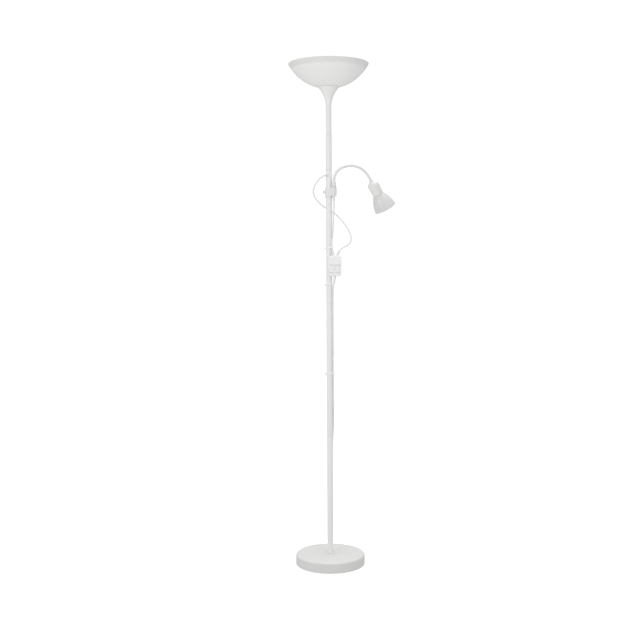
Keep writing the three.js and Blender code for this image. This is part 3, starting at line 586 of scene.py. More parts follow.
# ---- Camera and studio ----
def build_camera():
    camera = bpy.data.objects.new("camera", bpy.data.cameras.new("camera"))
    camera.data.lens = LENS_MM
    camera.data.sensor_width = 36
    camera.data.clip_end = 60
    turn = Matrix.Rotation(math.radians(CAMERA_PAN_DEG), 4, "Z")
    tilt = Matrix.Rotation(math.radians(90 - CAMERA_TILT_DEG), 4, "X")
    roll = Matrix.Rotation(math.radians(CAMERA_ROLL_DEG), 4, "Z")
    camera.matrix_world = Matrix.Translation((0, -CAMERA_DISTANCE, CAMERA_HEIGHT)) @ turn @ tilt @ roll
    bpy.context.collection.objects.link(camera)
    bpy.context.scene.camera = camera


def build_floor():
    """A pale floor that curves up into the backdrop, far behind the lamp on every side."""
    material, shader = new_material("studio_floor", (0.5, 0.5, 0.5), 0.9)
    vary_colour(shader, add_noise(shader, 3), (0.495, 0.495, 0.495), (0.505, 0.505, 0.505))
    shader.inputs["Specular IOR Level"].default_value = 0.1
    shader.inputs["Emission Color"].default_value = (1, 1, 1, 1)
    shader.inputs["Emission Strength"].default_value = FLOOR_GLOW
    sweep_r, flat_r, height = 2.5, 9.0, 9.0
    outline = [(flat_r, 0)]
    bend_steps = 12
    for k in range(1, bend_steps + 1):
        angle = math.pi / 2 * k / bend_steps
        outline.append((flat_r + sweep_r * math.sin(angle), sweep_r * (1 - math.cos(angle))))
    outline.append((flat_r + sweep_r, height))
    segments = 96
    vertices = [(0, 0, FLOOR_Z)]
    rings = [[0] * segments]
    for across, up in outline:
        rings.append(list(range(len(vertices), len(vertices) + segments)))
        vertices += circle(across / MM, (up + FLOOR_Z) / MM, segments)
    faces = ring_faces(list(zip(rings, rings[1:])), segments)
    floor = make_piece("studio_floor", vertices, faces, material)
    floor.visible_diffuse = False
    floor.visible_glossy = False


def add_softbox(name, place, target, size, power):
    light = bpy.data.lights.new(name, "AREA")
    light.shape = "RECTANGLE"
    light.size, light.size_y = size
    light.energy = power
    softbox = bpy.data.objects.new(name, light)
    softbox.location = place
    softbox.rotation_euler = (Vector(target) - Vector(place)).to_track_quat("-Z", "Y").to_euler()
    bpy.context.collection.objects.link(softbox)
    softbox.visible_camera = False


def build_sky():
    """Soft light from all round: brighter above, below and to the left than level and right."""
    world = bpy.data.worlds.new("studio")
    world.use_nodes = True
    background = world.node_tree.nodes["Background"]
    place = add_node(background, "TexCoord")
    parts = add_node(background, "SeparateXYZ")
    ramp = add_node(background, "ValToRGB")
    height = add_node(background, "MapRange", From_Min=-1)
    join(place.outputs["Generated"], parts.inputs["Vector"])
    join(parts.outputs["Z"], height.inputs["Value"])
    join(height.outputs["Result"], ramp.inputs["Fac"])
    ramp.color_ramp.interpolation = "EASE"
    stops = ramp.color_ramp.elements
    stops.new(0.5)
    for stop, level in zip(stops, (SKY_BELOW, SKY_HORIZON, SKY_ABOVE)):
        stop.color = (level, level, level, 1)
    join(ramp.outputs["Color"], background.inputs["Color"])
    across = add_node(background, "MapRange", From_Min=-1, To_Min=SKY_LEFT, To_Max=SKY_RIGHT)
    join(parts.outputs["X"], across.inputs["Value"])
    join(across.outputs["Result"], background.inputs["Strength"])
    bpy.context.scene.world = world


def build_studio():
    build_floor()
    build_sky()
    add_softbox("key_softbox", (-1.3, -1.85, 1.35), (0, 0, 1.3), (0.9, 1.2), KEY_POWER)
    add_softbox("fill_softbox", (1.1, -1.9, 1.2), (0, 0, 1.2), (0.8, 1.2), FILL_POWER)
    add_softbox("top_softbox", (0.3, 0.4, 4.2), (0, 0, 0.6), (2.4, 2.4), TOP_POWER)
    bpy.context.scene.view_settings.view_transform = "Standard"


# ---- Cords ----
def coil_points():
    """The wound turns: down to the smallest in the upper layer, then out again in the lower one."""
    ease = lambda t: t * t * (3 - 2 * t)
    shift_start = 300  # each turn moves over to the next within its last 60 degrees
    radii = [*COIL_TURN_R, *reversed(COIL_TURN_R)]
    heights = [COIL_LAYERS_Z[0]] * 3 + [COIL_LAYERS_Z[1]] * 3
    points = []
    for turn, (radius, height) in enumerate(zip(radii, heights)):
        last = turn == len(radii) - 1
        for k in range(0, 270 if last else 360, 6):
            share = 0 if last or k < shift_start else ease((k - shift_start) / (360 - shift_start))
            next_radius = radius if last else radii[turn + 1]
            next_height = height if last else heights[turn + 1]
            at = polar(radius + (next_radius - radius) * share, k, height + (next_height - height) * share)
            points.append(tuple(COIL_CENTRE + at))
    return points


def mains_points():
    first = smooth_line(MAINS_ROUTE)
    coil = smooth_line(coil_points())
    tail = smooth_line(TAIL_ROUTE)
    return spaced(np.concatenate([first[:-1], coil[:-1], tail]), 0.0018)


def build_cords():
    uplight_line = smooth_line(UPLIGHT_ROUTE)
    uplight = sweep("uplight_flex", uplight_line, CORD_R, CORD)
    stands_for(uplight, "root", "cord_sheath", "uplight_cord")

    reading_line = smooth_line(READING_ROUTE, 0.001)
    above_join = reading_line[:, 2] - READING_JOIN_Z
    upper = sweep("reading_flex_upper", reading_line[above_join >= 0], CORD_R, CORD)
    lower = sweep("reading_flex_lower", reading_line[above_join <= 0.001], CORD_R, CORD)
    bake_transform(upper)
    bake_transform(lower)
    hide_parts("reading_cord_upper")
    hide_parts("reading_cord_lower")

    mains_line = mains_points()
    mains = sweep("mains_flex", mains_line, CORD_R, CORD, sides=16)
    stands_for(mains, "root", "cord_sheath", "mains_cord", "mains_coil", "mains_tail")
    plug_pieces = [build_plug(), *build_pins(), build_tie()]


def superellipse(half_width, half_height, power, count=48):
    """Points of a closed outline that goes from an ellipse, at power 2, towards a rounded rectangle."""
    outline = []
    for k in range(count):
        angle = 2 * math.pi * k / count
        c, s = math.cos(angle), math.sin(angle)
        outline.append((
            half_width * math.copysign(abs(c) ** (2 / power), c),
            half_height * math.copysign(abs(s) ** (2 / power), s),
        ))
    return outline


def build_plug():
    """A flat two-pin plug: a ribbed tail that swells into a flat moulded grip."""
    outlines = []

    def add(x, half_width, half_height, power):
        points = superellipse(half_width * MM, half_height * MM, power)
        outlines.append([PLUG_START + Vector((x * MM, y, z)) for y, z in points])

    relief = PLUG_RELIEF / MM
    for k in range(14):
        low = 0.3 if k % 2 else 0
        x = 0.4 + k * (relief - 1) / 14
        for edge, shrink in ((0, low), (0.7, low), (0.9, 0.3 - low)):
            size = 4.1 + 1.2 * (x + edge) / relief - shrink
            add(x + edge, size, size, 2)
    for x, half_width, half_height, power in (
        (26, 5.5, 5.5, 2), (29, 6.2, 5.7, 2.1), (33, 7.8, 5.9, 2.3), (38, 10.6, 6.2, 2.6),
        (44, 14.2, 6.5, 3.1), (49, 16.6, 6.7, 3.7), (54, 17.3, 6.8, 4.4), (59, 17.4, 6.8, 5),
        (62.5, 17.4, 6.8, 5), (63.5, 17.1, 6.6, 5), (64, 16.6, 6.2, 5), (64.2, 15.8, 5.6, 5),
    ):
        add(x, half_width, half_height, power)
    plug = loft("plug_body", outlines, SOFT, 40)
    grooves = []
    for k in range(5):
        for side in (1, -1):
            place = Matrix.Translation(PLUG_START + Vector(((46 + 3 * k) * MM, 0, side * 7.0 * MM)))
            grooves.append(rounded_box("groove", (0.0012, 0.018, 0.0012), 0.0003, place, SOFT, 2))
    combine(plug, grooves, "DIFFERENCE")
    return stands_for(plug, "root", "cord_sheath", "mains_plug")


def build_pins():
    """Round pins with insulating sleeves at their roots."""
    pins = []
    for node, side in (("plug_pin_left", 1), ("plug_pin_right", -1)):
        foot = PLUG_START + Vector((PLUG_RELIEF + PLUG_BODY - 0.012, side * PIN_SPREAD, 0))
        place = along_axis(foot, (1, 0, 0))
        name = f"{node}_turned"
        pin = [(0, 0), (1.9, 0), (1.9, 29, 1.1), (0, 29)]
        sleeve = [(1.91, 8), (2.0, 8), (2.0, 20.5, 0.05), (1.91, 20.5)]
        pins.append(turned(name, pin, STEEL, 32, "root", "plated_steel", node, place=place))
        pins.append(turned(f"{name}_sleeve", sleeve, SOFT, 32, "root", "cord_sheath", place=place))
    return pins


def build_tie():
    """A closed strap round the coil."""
    inner, outer = COIL_TURN_R[-1] - 0.0034, COIL_TURN_R[0] + 0.0034
    low, high = 0.0005, 0.0126
    outline = rounded_plate(outer - inner, high - low, 0.0035, 6)
    azimuth = math.radians(160)
    outwards = Vector((math.cos(azimuth), math.sin(azimuth), 0))
    sideways = Vector((-math.sin(azimuth), math.cos(azimuth), 0))
    middle = COIL_CENTRE + outwards * (inner + outer) / 2 + Vector((0, 0, (low + high) / 2))
    half, thick = 0.003, 0.0007
    rings = []
    for across, grow in ((-half, 0), (half, 0), (half, thick), (-half, thick)):
        wide = outwards * (1 + 2 * grow / (outer - inner))
        tall = Vector((0, 0, 1 + 2 * grow / (high - low)))
        rings.append([middle + sideways * across + wide * a + tall * u for a, u in outline])
    tie = loft("coil_tie", rings, FOAM, ends_meet=True)
    return stands_for(tie, "root", "foot_pad", "cord_tie")


# ---- Base and pole ----
def build_base():
    # The shell wears the darker copy of the white paint: painted shade.
    turned("base_shell", [
        (118.2, 1.2, 0.4), (122.5, 1.2, 3.4), (122.5, 37.95, 6), (8, 38.0), (8, 37.2), (6, 37.2), (6, 36),
        (120.5, 36, 4), (120.5, 4.2, 2),
    ], SHADED_BASE_PAINT, 192, "root", "white_paint", "base_cover")
    turned("base_sole", [
        (0, 0.6), (106, 0.6), (106, 0.1, 0.3), (115, 0.1, 0.3), (115, 0.6), (117.2, 0.6, 0.4),
        (117.2, 2, 0.4), (0, 2),
    ], FOAM, 160, "root", "foot_pad", "base_pad")
    turned("foot_collar", [
        (5.2, 38.3), (11.2, 38.3, 0.4), (11.2, 40.2, 0.8), (9.75, 41.4, 0.8), (9.75, 84.6, 0.3), (9.1, 85),
        (9.1, 115), (5.2, 115),
    ], PAINT, 72, "root", "white_paint", "foot_post")


def build_pole():
    tube_r, end_r, bore_r, half_gap = 10.6, 10.2, 9.4, 0.25
    place = along_axis((0, 0, GROMMET_Z), polar(1, GROMMET_AZIMUTH_DEG))
    for i, (low, high) in enumerate(zip(POLE_SEAMS, POLE_SEAMS[1:])):
        bottom, top = low / MM + half_gap, high / MM - half_gap
        piece = lathe(f"pole_tube_{i + 1}", [
            (bore_r, bottom), (end_r, bottom), (tube_r, bottom + 0.7, 0.4),
            (tube_r, top - 0.7, 0.4), (end_r, top), (bore_r, top),
        ], PAINT, 72)
        if low < GROMMET_Z < high:
            drill = lathe("drill", [(0, 4), (5.3, 4), (5.3, 20), (0, 20)], PAINT, 32, place)
            combine(piece, [drill], "DIFFERENCE")
        stands_for(piece, "root", "white_paint", f"pole_section_{i + 1}")
    turned("grommet_turned", [
        (3.1, 8, 0.3), (5, 8, 0.3), (5, 10.3), (6.2, 10.3, 0.3), (6.3, 12.2, 1.2), (4.2, 13.5, 0.6),
        (3.1, 13.5, 0.6),
    ], SOFT, 48, "root", "soft_plastic", "cord_grommet", place=place)


def build_stem():
    top, start, neck_r, flare_r, wall = 1680.4, 1612, 10, 37, 1.5
    steps = 28
    outside = []
    for i in range(steps + 1):
        share = i / steps
        outside.append((neck_r + (flare_r - neck_r) * share ** 2.2, start + (top - start) * share))
    inside = [(r - wall, z) for r, z in reversed(outside)]
    turned("flared_stem", [
        (7.6, 1480), (9.1, 1480, 0.4), (9.1, 1520.3), (9.7, 1520.3), (neck_r, 1521, 0.4), *outside, *inside,
        (8.5, 1522), (7.6, 1521),
    ], PAINT, 96, "root", "white_paint", "shade_stem")


# ---- Uplight ----
def build_uplight():
    rim_r, sphere_r, wall, rim_z = 140, 159.3, 2, 1760
    centre_z = rim_z + math.sqrt(sphere_r**2 - rim_r**2)
    hole_r = 20.1
    low, high = math.asin(hole_r / sphere_r), math.asin(rim_r / sphere_r)
    steps = 40
    angles = [low + (high - low) * k / steps for k in range(steps + 1)]
    outside = [(sphere_r * math.sin(a), centre_z - sphere_r * math.cos(a)) for a in angles]
    thin = sphere_r - wall
    inside = [(thin * math.sin(a), centre_z - thin * math.cos(a)) for a in reversed(angles)]
    inside[-1] = (hole_r, inside[-1][1])
    rim = [(rim_r - 0.1, rim_z + 0.5, 0.4), (rim_r - 1.6, rim_z + 0.5, 0.4)]
    outline = [*outside, *rim, *inside]
    turned("bowl_moulding", outline, SHADE, 192, "root", "white_plastic", "bowl_shade", sharp_deg=50)

    ring = ribbed_ring("bowl_ring_ribbed", 19.8, 28.4, 30.6, 1682.4, 1689.3, 60, Matrix())
    stands_for(ring, "root", "white_plastic", "shade_ring")
    turned("uplight_holder_turned", [
        (3.6, 1650.3), (7, 1650.3), (7, 1656), (17.5, 1656, 2), (19.4, 1660, 1), (19.4, 1696, 0.6),
        (14.3, 1696, 0.6), (14.3, 1661), (3.6, 1661),
    ], SWITCH_PLASTIC, 72, "root", "white_plastic", "uplight_lampholder")
    globe_r, globe_z = 30, 1726
    turns = np.radians(np.linspace(-46, 89, 28))
    globe = [(globe_r * math.cos(a), globe_z + globe_r * math.sin(a)) for a in turns]
    turned("uplight_bulb_globe", [
        (0, 1696), (13.3, 1696), (13.6, 1698.5, 0.6), (16.4, 1700.2, 2), *globe, (0, globe_z + globe_r),
    ], OPAL, 72, "root", "opal_bulb", "uplight_bulb")
    turned("uplight_bulb_cap", [
        (0, 1662.5), (4, 1662.5, 1), (8, 1664.5, 1), *thread(13, 1667, 1692, 3.6), (12.8, 1696.5),
        (0, 1696.5),
    ], STEEL, 48, "root", "plated_steel")


def thread(radius, low, high, pitch):
    """A rounded screw thread, as one turned ripple."""
    steps_per_turn, half_depth = 8, 0.45
    steps = int((high - low) / pitch * steps_per_turn)
    points = []
    for k in range(steps + 1):
        across = radius - 0.5 + half_depth * math.sin(2 * math.pi * k / steps_per_turn)
        points.append((across, low + (high - low) * k / steps))
    return points


def ribbed_ring(name, inner, root_r, tip_r, low, high, ribs, place):
    """A threaded ring with grip ribs round its outside."""
    segments = ribs * 6
    levels = [(low, 0.7), (low + 0.6, 0), (high - 0.6, 0), (high, 0.7)]
    outlines = []
    for z, inset in levels:
        turns = [2 * math.pi * k * ribs / segments for k in range(segments)]
        radii = [root_r + (tip_r - root_r) * (0.5 + 0.5 * math.cos(turn)) - inset for turn in turns]
        outlines.append(circle(radii, z, segments, place))
    for z, inset in reversed(levels):
        outlines.append(circle(inner + inset * 0.5, z, segments, place))
    return loft(name, outlines, SWITCH_PLASTIC, ends_meet=True)


# ---- Bracket ----
def build_bracket():
    low, high = 1302, 1336
    bore_r = 12.1
    body = lathe("clamp_block", [(0, low), (13.3, low, 1.2), (13.3, high, 1.2), (0, high)], PLASTIC, 72)
    turn = Matrix.Rotation(math.radians(SOCKET_AZIMUTH_DEG), 4, "Z") @ Matrix.Translation((0.019, 0, 1.321))
    block = rounded_box("block", (0.0229, 0.0163, 0.0318), 0.0028, turn, PLASTIC, 5)
    panel = rounded_box("panel", (0.0236, 0.0108, 0.0220), 0.0016, turn, PLASTIC, 4)
    place = along_axis((0, 0, BRACKET_Z + 0.001), polar(1, SCREW_AZIMUTH_DEG))
    boss = lathe("boss", [(0, 9), (7.4, 9), (7, 13.5), (6, 15.5, 0.5), (0, 15.5)], PLASTIC, 48, place)
    melt(combine(body, [block, panel, boss], "UNION"), 0.00045, 5)
    socket = Matrix.Translation(SOCKET)
    bore = lathe("bore", [(0, low - 2), (bore_r, low - 2), (bore_r, high + 2), (0, high + 2)], PLASTIC, 64)
    neck_hole = lathe("neck_hole", [(0, 1326), (5.3, 1326), (5.3, 1340), (0, 1340)], PLASTIC, 32, socket)
    cord_hole = lathe("cord_hole", [(0, 1300), (3.2, 1300), (3.2, 1327), (0, 1327)], PLASTIC, 32, socket)
    screw_hole = lathe("screw_hole", [(0, 6), (2.9, 6), (2.9, 20), (0, 20)], PLASTIC, 32, place)
    combine(body, [bore, neck_hole, cord_hole, screw_hole], "DIFFERENCE")
    stands_for(body, "bracket", "white_plastic", "bracket_body")

    turned("clamp_bush", [
        (10.75, 1300.5, 0.2), (12.9, 1300.5, 0.3), (12.9, 1301.6), (11.8, 1301.8), (11.8, high, 0.3),
        (10.75, high, 0.3),
    ], SOFT, 72, "clamp_slider", "soft_plastic", "clamp_liner")
    knob = scalloped_knob("thumb_knob", place)
    stands_for(knob, "thumb_screw", "white_plastic", "thumb_screw")
    turned("ferrule_turned", [
        (5.25, 1337.3), (8, 1337.3, 0.4), (8, 1341, 0.3), (7.4, 1341.4, 0.2), (7.4, 1342.2, 0.2),
        (8, 1342.6, 0.3), (7.9, 1349.8, 1), (6.6, 1354.8, 0.7), (5.25, 1354.8),
    ], PLASTIC, 64, "bracket", "white_plastic", "neck_ferrule", place=socket)
    turned("bracket_relief_ribbed", [
        (3.1, 1288.7, 0.3), (3.8, 1288.7, 0.3), *relief_ribs(1290, 1302.5, 4, 5.1, 5), (5.2, 1304.7),
        (3.1, 1304.7),
    ], SOFT, 40, "bracket", "soft_plastic", "bracket_cord_relief", place=socket)


def relief_ribs(low, high, small, large, count):
    """The stepped ribs of a bend relief, as outline points that widen from small to large."""
    pitch = (high - low) / count
    points = []
    for k in range(count):
        radius = small + (large - small) * (k + 0.5) / count
        foot = low + k * pitch
        points += [
            (radius - 0.45, foot, 0.15), (radius, foot + 0.25 * pitch, 0.2),
            (radius, foot + 0.8 * pitch, 0.2), (radius - 0.45, foot + 0.98 * pitch, 0.15),
        ]
    return points


def scalloped_knob(name, place):
    """The clamp's thumb screw: a shank, and a knob with a scalloped grip and a domed end."""
    segments = 96
    levels = [
        (12.7, 2.5, 0), (15.6, 2.5, 0), (15.7, 5.4, 0.2), (16.1, 6.0, 1), (19.6, 6.1, 1), (20.3, 5.7, 0.8),
        (21.2, 4.9, 0.3), (22.6, 4.4, 0), (23.4, 3.7, 0), (23.9, 2.2, 0), (24, 0.8, 0),
    ]
    turns = [2 * math.pi * k / segments for k in range(segments)]
    outlines = []
    for up, radius, grip in levels:
        radii = [radius - 0.45 * grip * (0.5 + 0.5 * math.cos(12 * turn)) for turn in turns]
        outlines.append(circle(radii, up, segments, place))
    return loft(name, outlines, PLASTIC)


# ---- Neck ----
def neck_place(length):
    """The place and the direction at this length along the neck's centreline."""
    reach, rise, angle, left = 0.0, NECK_FOOT_Z, math.pi / 2, length
    if length < 0:
        rise += length
        left = 0.0
    for radius, turn_deg in NECK_ARCS:
        part = min(left / radius, math.radians(turn_deg))
        after = angle - part
        reach += radius * (math.sin(angle) - math.sin(after))
        rise += radius * (math.cos(after) - math.cos(angle))
        angle = after
        left -= part * radius
        if left <= 1e-9:
            break
    reach += left * math.cos(angle)
    rise += left * math.sin(angle)
    outwards = polar(1, NECK_AZIMUTH_DEG)
    place = Vector((SOCKET.x, SOCKET.y, rise)) + outwards * reach
    return place, outwards * math.cos(angle) + Vector((0, 0, math.sin(angle)))


def build_neck():
    """The smooth sleeve, in a length round each joint. Neighbours meet at the middle of a link."""
    ends = [-0.009]
    ends += [(a + b) / 2 for a, b in zip(NECK_JOINTS, NECK_JOINTS[1:])]
    ends.append(NECK_LENGTH + 0.006)
    nodes = ["neck_root", *[f"neck_link_{i}" for i in range(1, 9)]]
    for i, joint in enumerate(NECK_JOINTS):
        low, high = ends[i], ends[i + 1]
        count = max(6, int((high - low) / 0.001))
        points = [neck_place(low + (high - low) * k / count)[0] for k in range(count + 1)]
        sleeve = neck_sleeve(f"neck_sleeve_{i + 1}", points, low, high)
        at, towards = neck_place(joint)
        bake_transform(sleeve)
        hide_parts(nodes[i])


def neck_sleeve(name, points, low, high):
    """One length of the sleeve. Its skin shows the spiral inside as a very faint ripple."""
    outwards = polar(1, NECK_AZIMUTH_DEG)
    sideways = Vector((-outwards.y, outwards.x, 0))
    outlines = []
    for k, point in enumerate(points):
        length = low + (high - low) * k / (len(points) - 1)
        along = neck_place(length)[1]
        across = along.cross(sideways)
        size = NECK_R - 0.00008 * (0.5 - 0.5 * math.cos(2 * math.pi * length / 0.003))
        turn = [2 * math.pi * j / 32 for j in range(32)]
        outlines.append([point + (sideways * math.cos(a) + across * math.sin(a)) * size for a in turn])
    return loft(name, outlines, PLASTIC, 50)


# ---- Reading head ----
def head_place():
    """In this frame the bell's rim lies at z = 0 and the neck enters at z = HEAD_LENGTH."""
    end, towards = neck_place(NECK_LENGTH)
    return along_axis(end + towards * HEAD_LENGTH, -towards)


def bell_line(length, wall, steps=28):
    points = []
    for k in range(steps + 1):
        t = k / steps
        a, b, c = (1 - t) ** 2, 2 * t * (1 - t), t * t
        across = a * BELL_RIM_R + b * BELL_RIM_R * BELL_BELLY[0] + c * BELL_TOP_R - wall
        points.append((across, b * length * BELL_BELLY[1] + c * length))
    return points


def build_head():
    place = head_place()
    outside = bell_line(BELL_LENGTH, 0)
    inside = bell_line(BELL_LENGTH - BELL_WALL, BELL_WALL)
    # The bell wears the darker copy of the arm's white plastic: painted shade.
    turned("bell_moulded", [
        (BELL_RIM_R - 1.5, 0.3), (BELL_RIM_R - 1.2, -0.1, 0.2), (BELL_RIM_R - 0.1, -0.1, 0.4),
        (BELL_RIM_R, 1.0, 0.4), *outside[1:-1], (BELL_TOP_R - 0.1, BELL_LENGTH, 0.6), (14.1, BELL_LENGTH),
        (14.1, BELL_LENGTH - BELL_WALL), *reversed(inside[1:-1]), (BELL_RIM_R - 1.7, 1.2),
    ], SHADED_HEAD_PLASTIC, 144, "head", "white_plastic", "reading_bell", place=place)
    turned("socket_cover_moulded", [
        (17.4, 56.3), (18.4, 56.3, 0.3), (18.4, 57.3, 0.2), (19.3, 57.8, 0.4), (19.9, 66), (20.5, 80),
        (20.95, 90, 7), (20.0, 99, 7), (15.4, 104.1, 6), (9, 106.6, 2.4), (7.9, 109, 1.4),
        (7.6, 113.4, 0.5), (5.5, 113.9, 0.4), (5.5, 103), (16.8, 96), (17.4, 90),
    ], PLASTIC, 96, "head", "white_plastic", "reading_socket_cover", place=place)
    turned("reading_holder_turned", [
        (3, 82), (9.8, 82), (9.8, 44, 0.4), (13.5, 44, 0.5), (13.5, 88), (3, 88),
    ], SWITCH_PLASTIC, 64, "head", "white_plastic", "reading_lampholder", place=place)
    ring = ribbed_ring("reading_ring_ribbed", 13.9, 16.1, 17, 43.4, 51, 36, place)
    stands_for(ring, "head", "white_plastic", "reading_ring")
    turned("reading_bulb_reflector", [
        (0, 16.4), (10, 16.7), (20, 18.2, 2), (23, 21.4, 1.8), (22.8, 24.5, 2), (20.4, 29), (17, 33),
        (13, 36.6, 3), (9.4, 42.6, 1), (9.2, 46), (0, 46),
    ], OPAL, 72, "head", "opal_bulb", "reading_bulb", place=place)
    turned("reading_bulb_cap", [
        (0, 45), (9.0, 45), *thread(9.2, 47, 66, 3), (8.6, 70, 1), (4, 75.5, 0.6), (0, 76),
    ], STEEL, 48, "head", "plated_steel", place=place)


# ---- Switch ----
def shell_outline(inset, y):
    corner = max(SWITCH_CORNER - inset, 0.001)
    plate = rounded_plate(SWITCH_WIDTH - 2 * inset, SWITCH_HEIGHT - 2 * inset, corner)
    return [SWITCH_CENTRE + Vector((across, y, up)) for across, up in plate]


def switch_shell(name, front):
    """One half of the housing, with a soft edge all round its face and a fine step at the seam."""
    seam_y, face_y = (0.00165, -0.010) if front else (0.00195, 0.010)
    side = -1 if front else 1
    edge_r = 0.0035
    edge_steps = 8
    seam = [(0.0005, 0), (0.0005, 0.0004), (0, 0.0008)]
    outlines = [shell_outline(inset, seam_y + side * rise) for inset, rise in seam]
    for k in range(edge_steps + 1):
        angle = math.pi / 2 * k / edge_steps
        inset = edge_r * (1 - math.cos(angle))
        outlines.append(shell_outline(inset, face_y - side * edge_r * (1 - math.sin(angle))))
    return loft(name, outlines, SWITCH_PLASTIC)


def build_switch():
    front = switch_shell("switch_front_moulded", True)
    tools = []
    for side in (-1, 1):
        place = Matrix.Translation(SWITCH_CENTRE + Vector((side * ROCKER_OFFSET, -0.004, -ROCKER_DROP)))
        tools.append(rounded_box("well", (0.0153, 0.018, 0.028), 0.0008, place, SWITCH_PLASTIC, 3))
    place = Matrix.Translation(SWITCH_CENTRE + Vector((0, -0.0102, 0)))
    tools.append(rounded_box("groove", (0.0009, 0.0012, 0.066), 0.0003, place, SWITCH_PLASTIC, 2))
    combine(front, tools, "DIFFERENCE")
    stands_for(front, "root", "white_plastic", "switch_front")
    rear = switch_shell("switch_rear_moulded", False)
    sinks = []
    for across, up in ((-0.015, 0.026), (0.015, 0.026), (-0.015, -0.026), (0.015, -0.026)):
        place = along_axis(SWITCH_CENTRE + Vector((across, 0.0105, up)), (0, -1, 0))
        sinks.append(lathe("sink", [(0, 0), (3.2, 0), (3.2, 3), (0, 3)], SWITCH_PLASTIC, 32, place))
        build_switch_screw(f"switch_screw_{len(sinks)}", place)
    combine(rear, sinks, "DIFFERENCE")
    stands_for(rear, "root", "white_plastic", "switch_rear")
    for name, side in (("rocker_left", -1), ("rocker_right", 1)):
        build_rocker(name, side)
    build_switch_reliefs()


def build_switch_screw(name, place):
    """A cross-head screw, a little below the face of the rear half."""
    outline = [(0, 1.2), (2.9, 1.2, 0.2), (2.9, 1.7, 0.3), (2.4, 2.95), (0, 2.95)]
    screw = lathe(name, outline, STEEL, 32, place)
    for turn_deg in (20, 110):
        turn = Matrix.Rotation(math.radians(turn_deg), 4, "Z")
        slot_place = place @ Matrix.Translation((0, 0, 0.0011)) @ turn
        slot = rounded_box("slot", (0.0038, 0.0008, 0.0012), 0.0001, slot_place, STEEL, 1)
        combine(screw, [slot], "DIFFERENCE")
    stands_for(screw, "root", "plated_steel")


def build_rocker(name, side):
    """A rocker with two hollowed faces that meet in a shallow vee, and a round back."""
    half, hollow, back_r, back_y = 13.1, 0.5, 5, 3.0
    steps = 10
    line = []
    for k in range(steps + 1):
        share = k / steps
        line.append((-half + half * share, 1.55 - 1.3 * share + hollow * math.sin(math.pi * share)))
    for k in range(1, steps + 1):
        share = k / steps
        line.append((half * share, 0.25 - 1.8 * share + hollow * math.sin(math.pi * share)))
    line.append((half, back_y))
    back = np.linspace(0.1, math.pi - 0.1, 14)
    line += [(back_r * math.cos(a), back_y + back_r * math.sin(a)) for a in back]
    line.append((-half, back_y))
    outlines = []
    for x, inset in ((-7.45, 0.5), (-7.2, 0.15), (-6.9, 0), (6.9, 0), (7.2, 0.15), (7.45, 0.5)):
        ring = []
        for up, depth in line:
            shrink = 1 - inset / half
            inwards = 0.6 * inset if depth < 2.5 else -0.6 * inset
            y = -0.0114 + (depth + inwards) * MM
            z = -ROCKER_DROP + up * shrink * MM
            ring.append(SWITCH_CENTRE + Vector((side * ROCKER_OFFSET + x * MM, y, z)))
        outlines.append(ring)
    rocker = loft(f"{name}_moulded", outlines, ROCKER_PLASTIC, 30)
    stands_for(rocker, name, "white_plastic", name)


def build_switch_reliefs():
    """Ribbed sleeves that taper along each cord where it enters the switch."""
    spacing = 0.0004
    sleeves = [("uplight", smooth_line(UPLIGHT_ROUTE, spacing)[::-1], 0.0205),
               ("reading", smooth_line(READING_ROUTE, spacing)[::-1], 0.0205),
               ("mains", smooth_line(MAINS_ROUTE, spacing), 0.0225)]
    for cord, line, length in sleeves:
        outside = np.abs(line[:, 2] - SWITCH_CENTRE.z) >= SWITCH_HEIGHT / 2
        start = int(np.argmax(outside))
        part = line[start - 4:start + int(length / spacing)]
        along = np.linspace(0, 1, len(part))
        ribs = 0.35 * (0.5 - 0.5 * np.cos(2 * math.pi * along * 7)) ** 0.5
        radii = (5.6 - 2.0 * along - ribs) * MM
        radii[-1] = 0.0031
        relief = sweep(f"relief_{cord}", part, radii, SOFT, 32, 50)
        stands_for(relief, "root", "soft_plastic", f"switch_relief_{cord}")


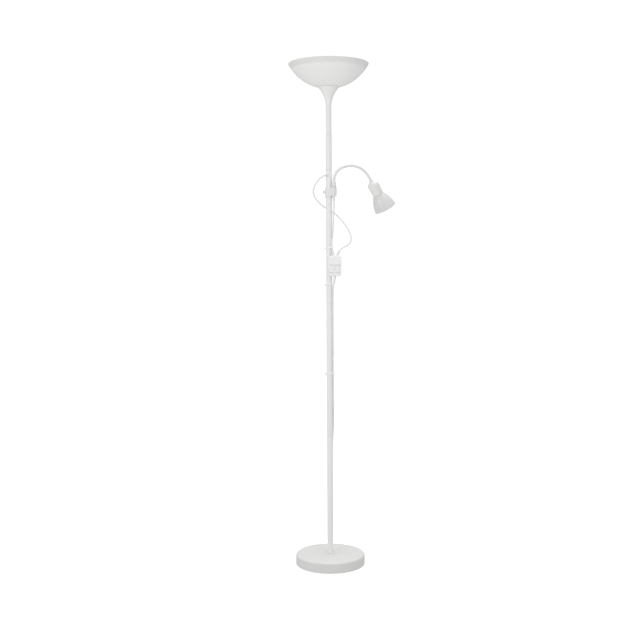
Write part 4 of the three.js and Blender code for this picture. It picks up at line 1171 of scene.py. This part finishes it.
# ---- Clips ----
def build_clips():
    """Spring clips: a band round the pole that ends in two lugs, and an eye that holds the cord."""
    tilt_angle = math.radians(CLIP_TILT_DEG)
    tilt_turn = Matrix.Rotation(-tilt_angle, 4, "Y")
    for i, route in enumerate([READING_ROUTE, MAINS_ROUTE, MAINS_ROUTE]):
        low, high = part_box(f"cord_clip_{i + 1}")
        height = (low[2] + high[2]) / 2
        level = Matrix.Translation((0, 0, height))
        tilt = level @ tilt_turn
        line = smooth_line(route, 0.0008)
        at = int(np.argmin(np.abs(line[:, 2] - height)))
        cord = Vector(line[at])
        band = clip_drum(f"clip_{i + 1}_moulded", 13.2, 72, tilt)
        lift = math.tan(tilt_angle) * cord.x
        eye = clip_drum("eye", 4.9, 48, Matrix.Translation((cord.x, cord.y, height + lift)) @ tilt_turn)
        reach = math.hypot(cord.x, cord.y)
        towards = Matrix.Rotation(math.atan2(cord.y, cord.x), 4, "Z")
        bridge_place = tilt @ towards @ Matrix.Translation((reach * 0.5, 0, 0))
        bridge = rounded_box("bridge", (reach, 0.0066, 0.0066), 0.0005, bridge_place, CLIP_PLASTIC, 2)
        lug_place = tilt @ Matrix.Translation((-0.0142, 0, 0))
        lug = rounded_box("lug", (0.008, 0.0068, 0.0066), 0.0007, lug_place, CLIP_PLASTIC, 3)
        combine(band, [eye, bridge, lug], "UNION")
        bore = lathe("bore", [(0, -8), (11.15, -8), (11.15, 8), (0, 8)], CLIP_PLASTIC, 64, level)
        slit_place = tilt @ Matrix.Translation((-0.0155, 0, 0))
        slit = rounded_box("slit", (0.012, 0.0016, 0.012), 0.0002, slit_place, CLIP_PLASTIC, 1)
        channel = sweep("channel", line[max(0, at - 14):at + 15], CORD_R + 0.0003, CLIP_PLASTIC, 24)
        combine(band, [bore, slit, channel], "DIFFERENCE")
        stands_for(band, "root", "soft_plastic", f"cord_clip_{i + 1}")


def clip_drum(name, radius, segments, place):
    """A short solid drum with soft edges, from which a clip's rings are cut."""
    half = 3.4
    outline = [(0, -half), (radius, -half, 0.5), (radius, half, 0.5), (0, half)]
    return lathe(name, outline, CLIP_PLASTIC, segments, place)


def finish_hidden_nodes():
    """The frame's own solids that still show, or would if the lamp came apart, get real finishes."""
    finishes = {
        IRON: ["base_weight"],
        STEEL: ["foot_stud", "foot_nut", "stem_nipple", *[f"pole_coupler_{i}" for i in (1, 2, 3)]],
        CORD: ["uplight_lead"],
    }
    for material, names in finishes.items():
        for name in names:
            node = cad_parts[name]
            for holder in node.material_slots:
                holder.material = material


build_camera()
build_cords()
build_base()
build_pole()
build_stem()
build_uplight()
build_bracket()
build_neck()
build_head()
build_switch()
build_clips()
finish_hidden_nodes()
build_studio()
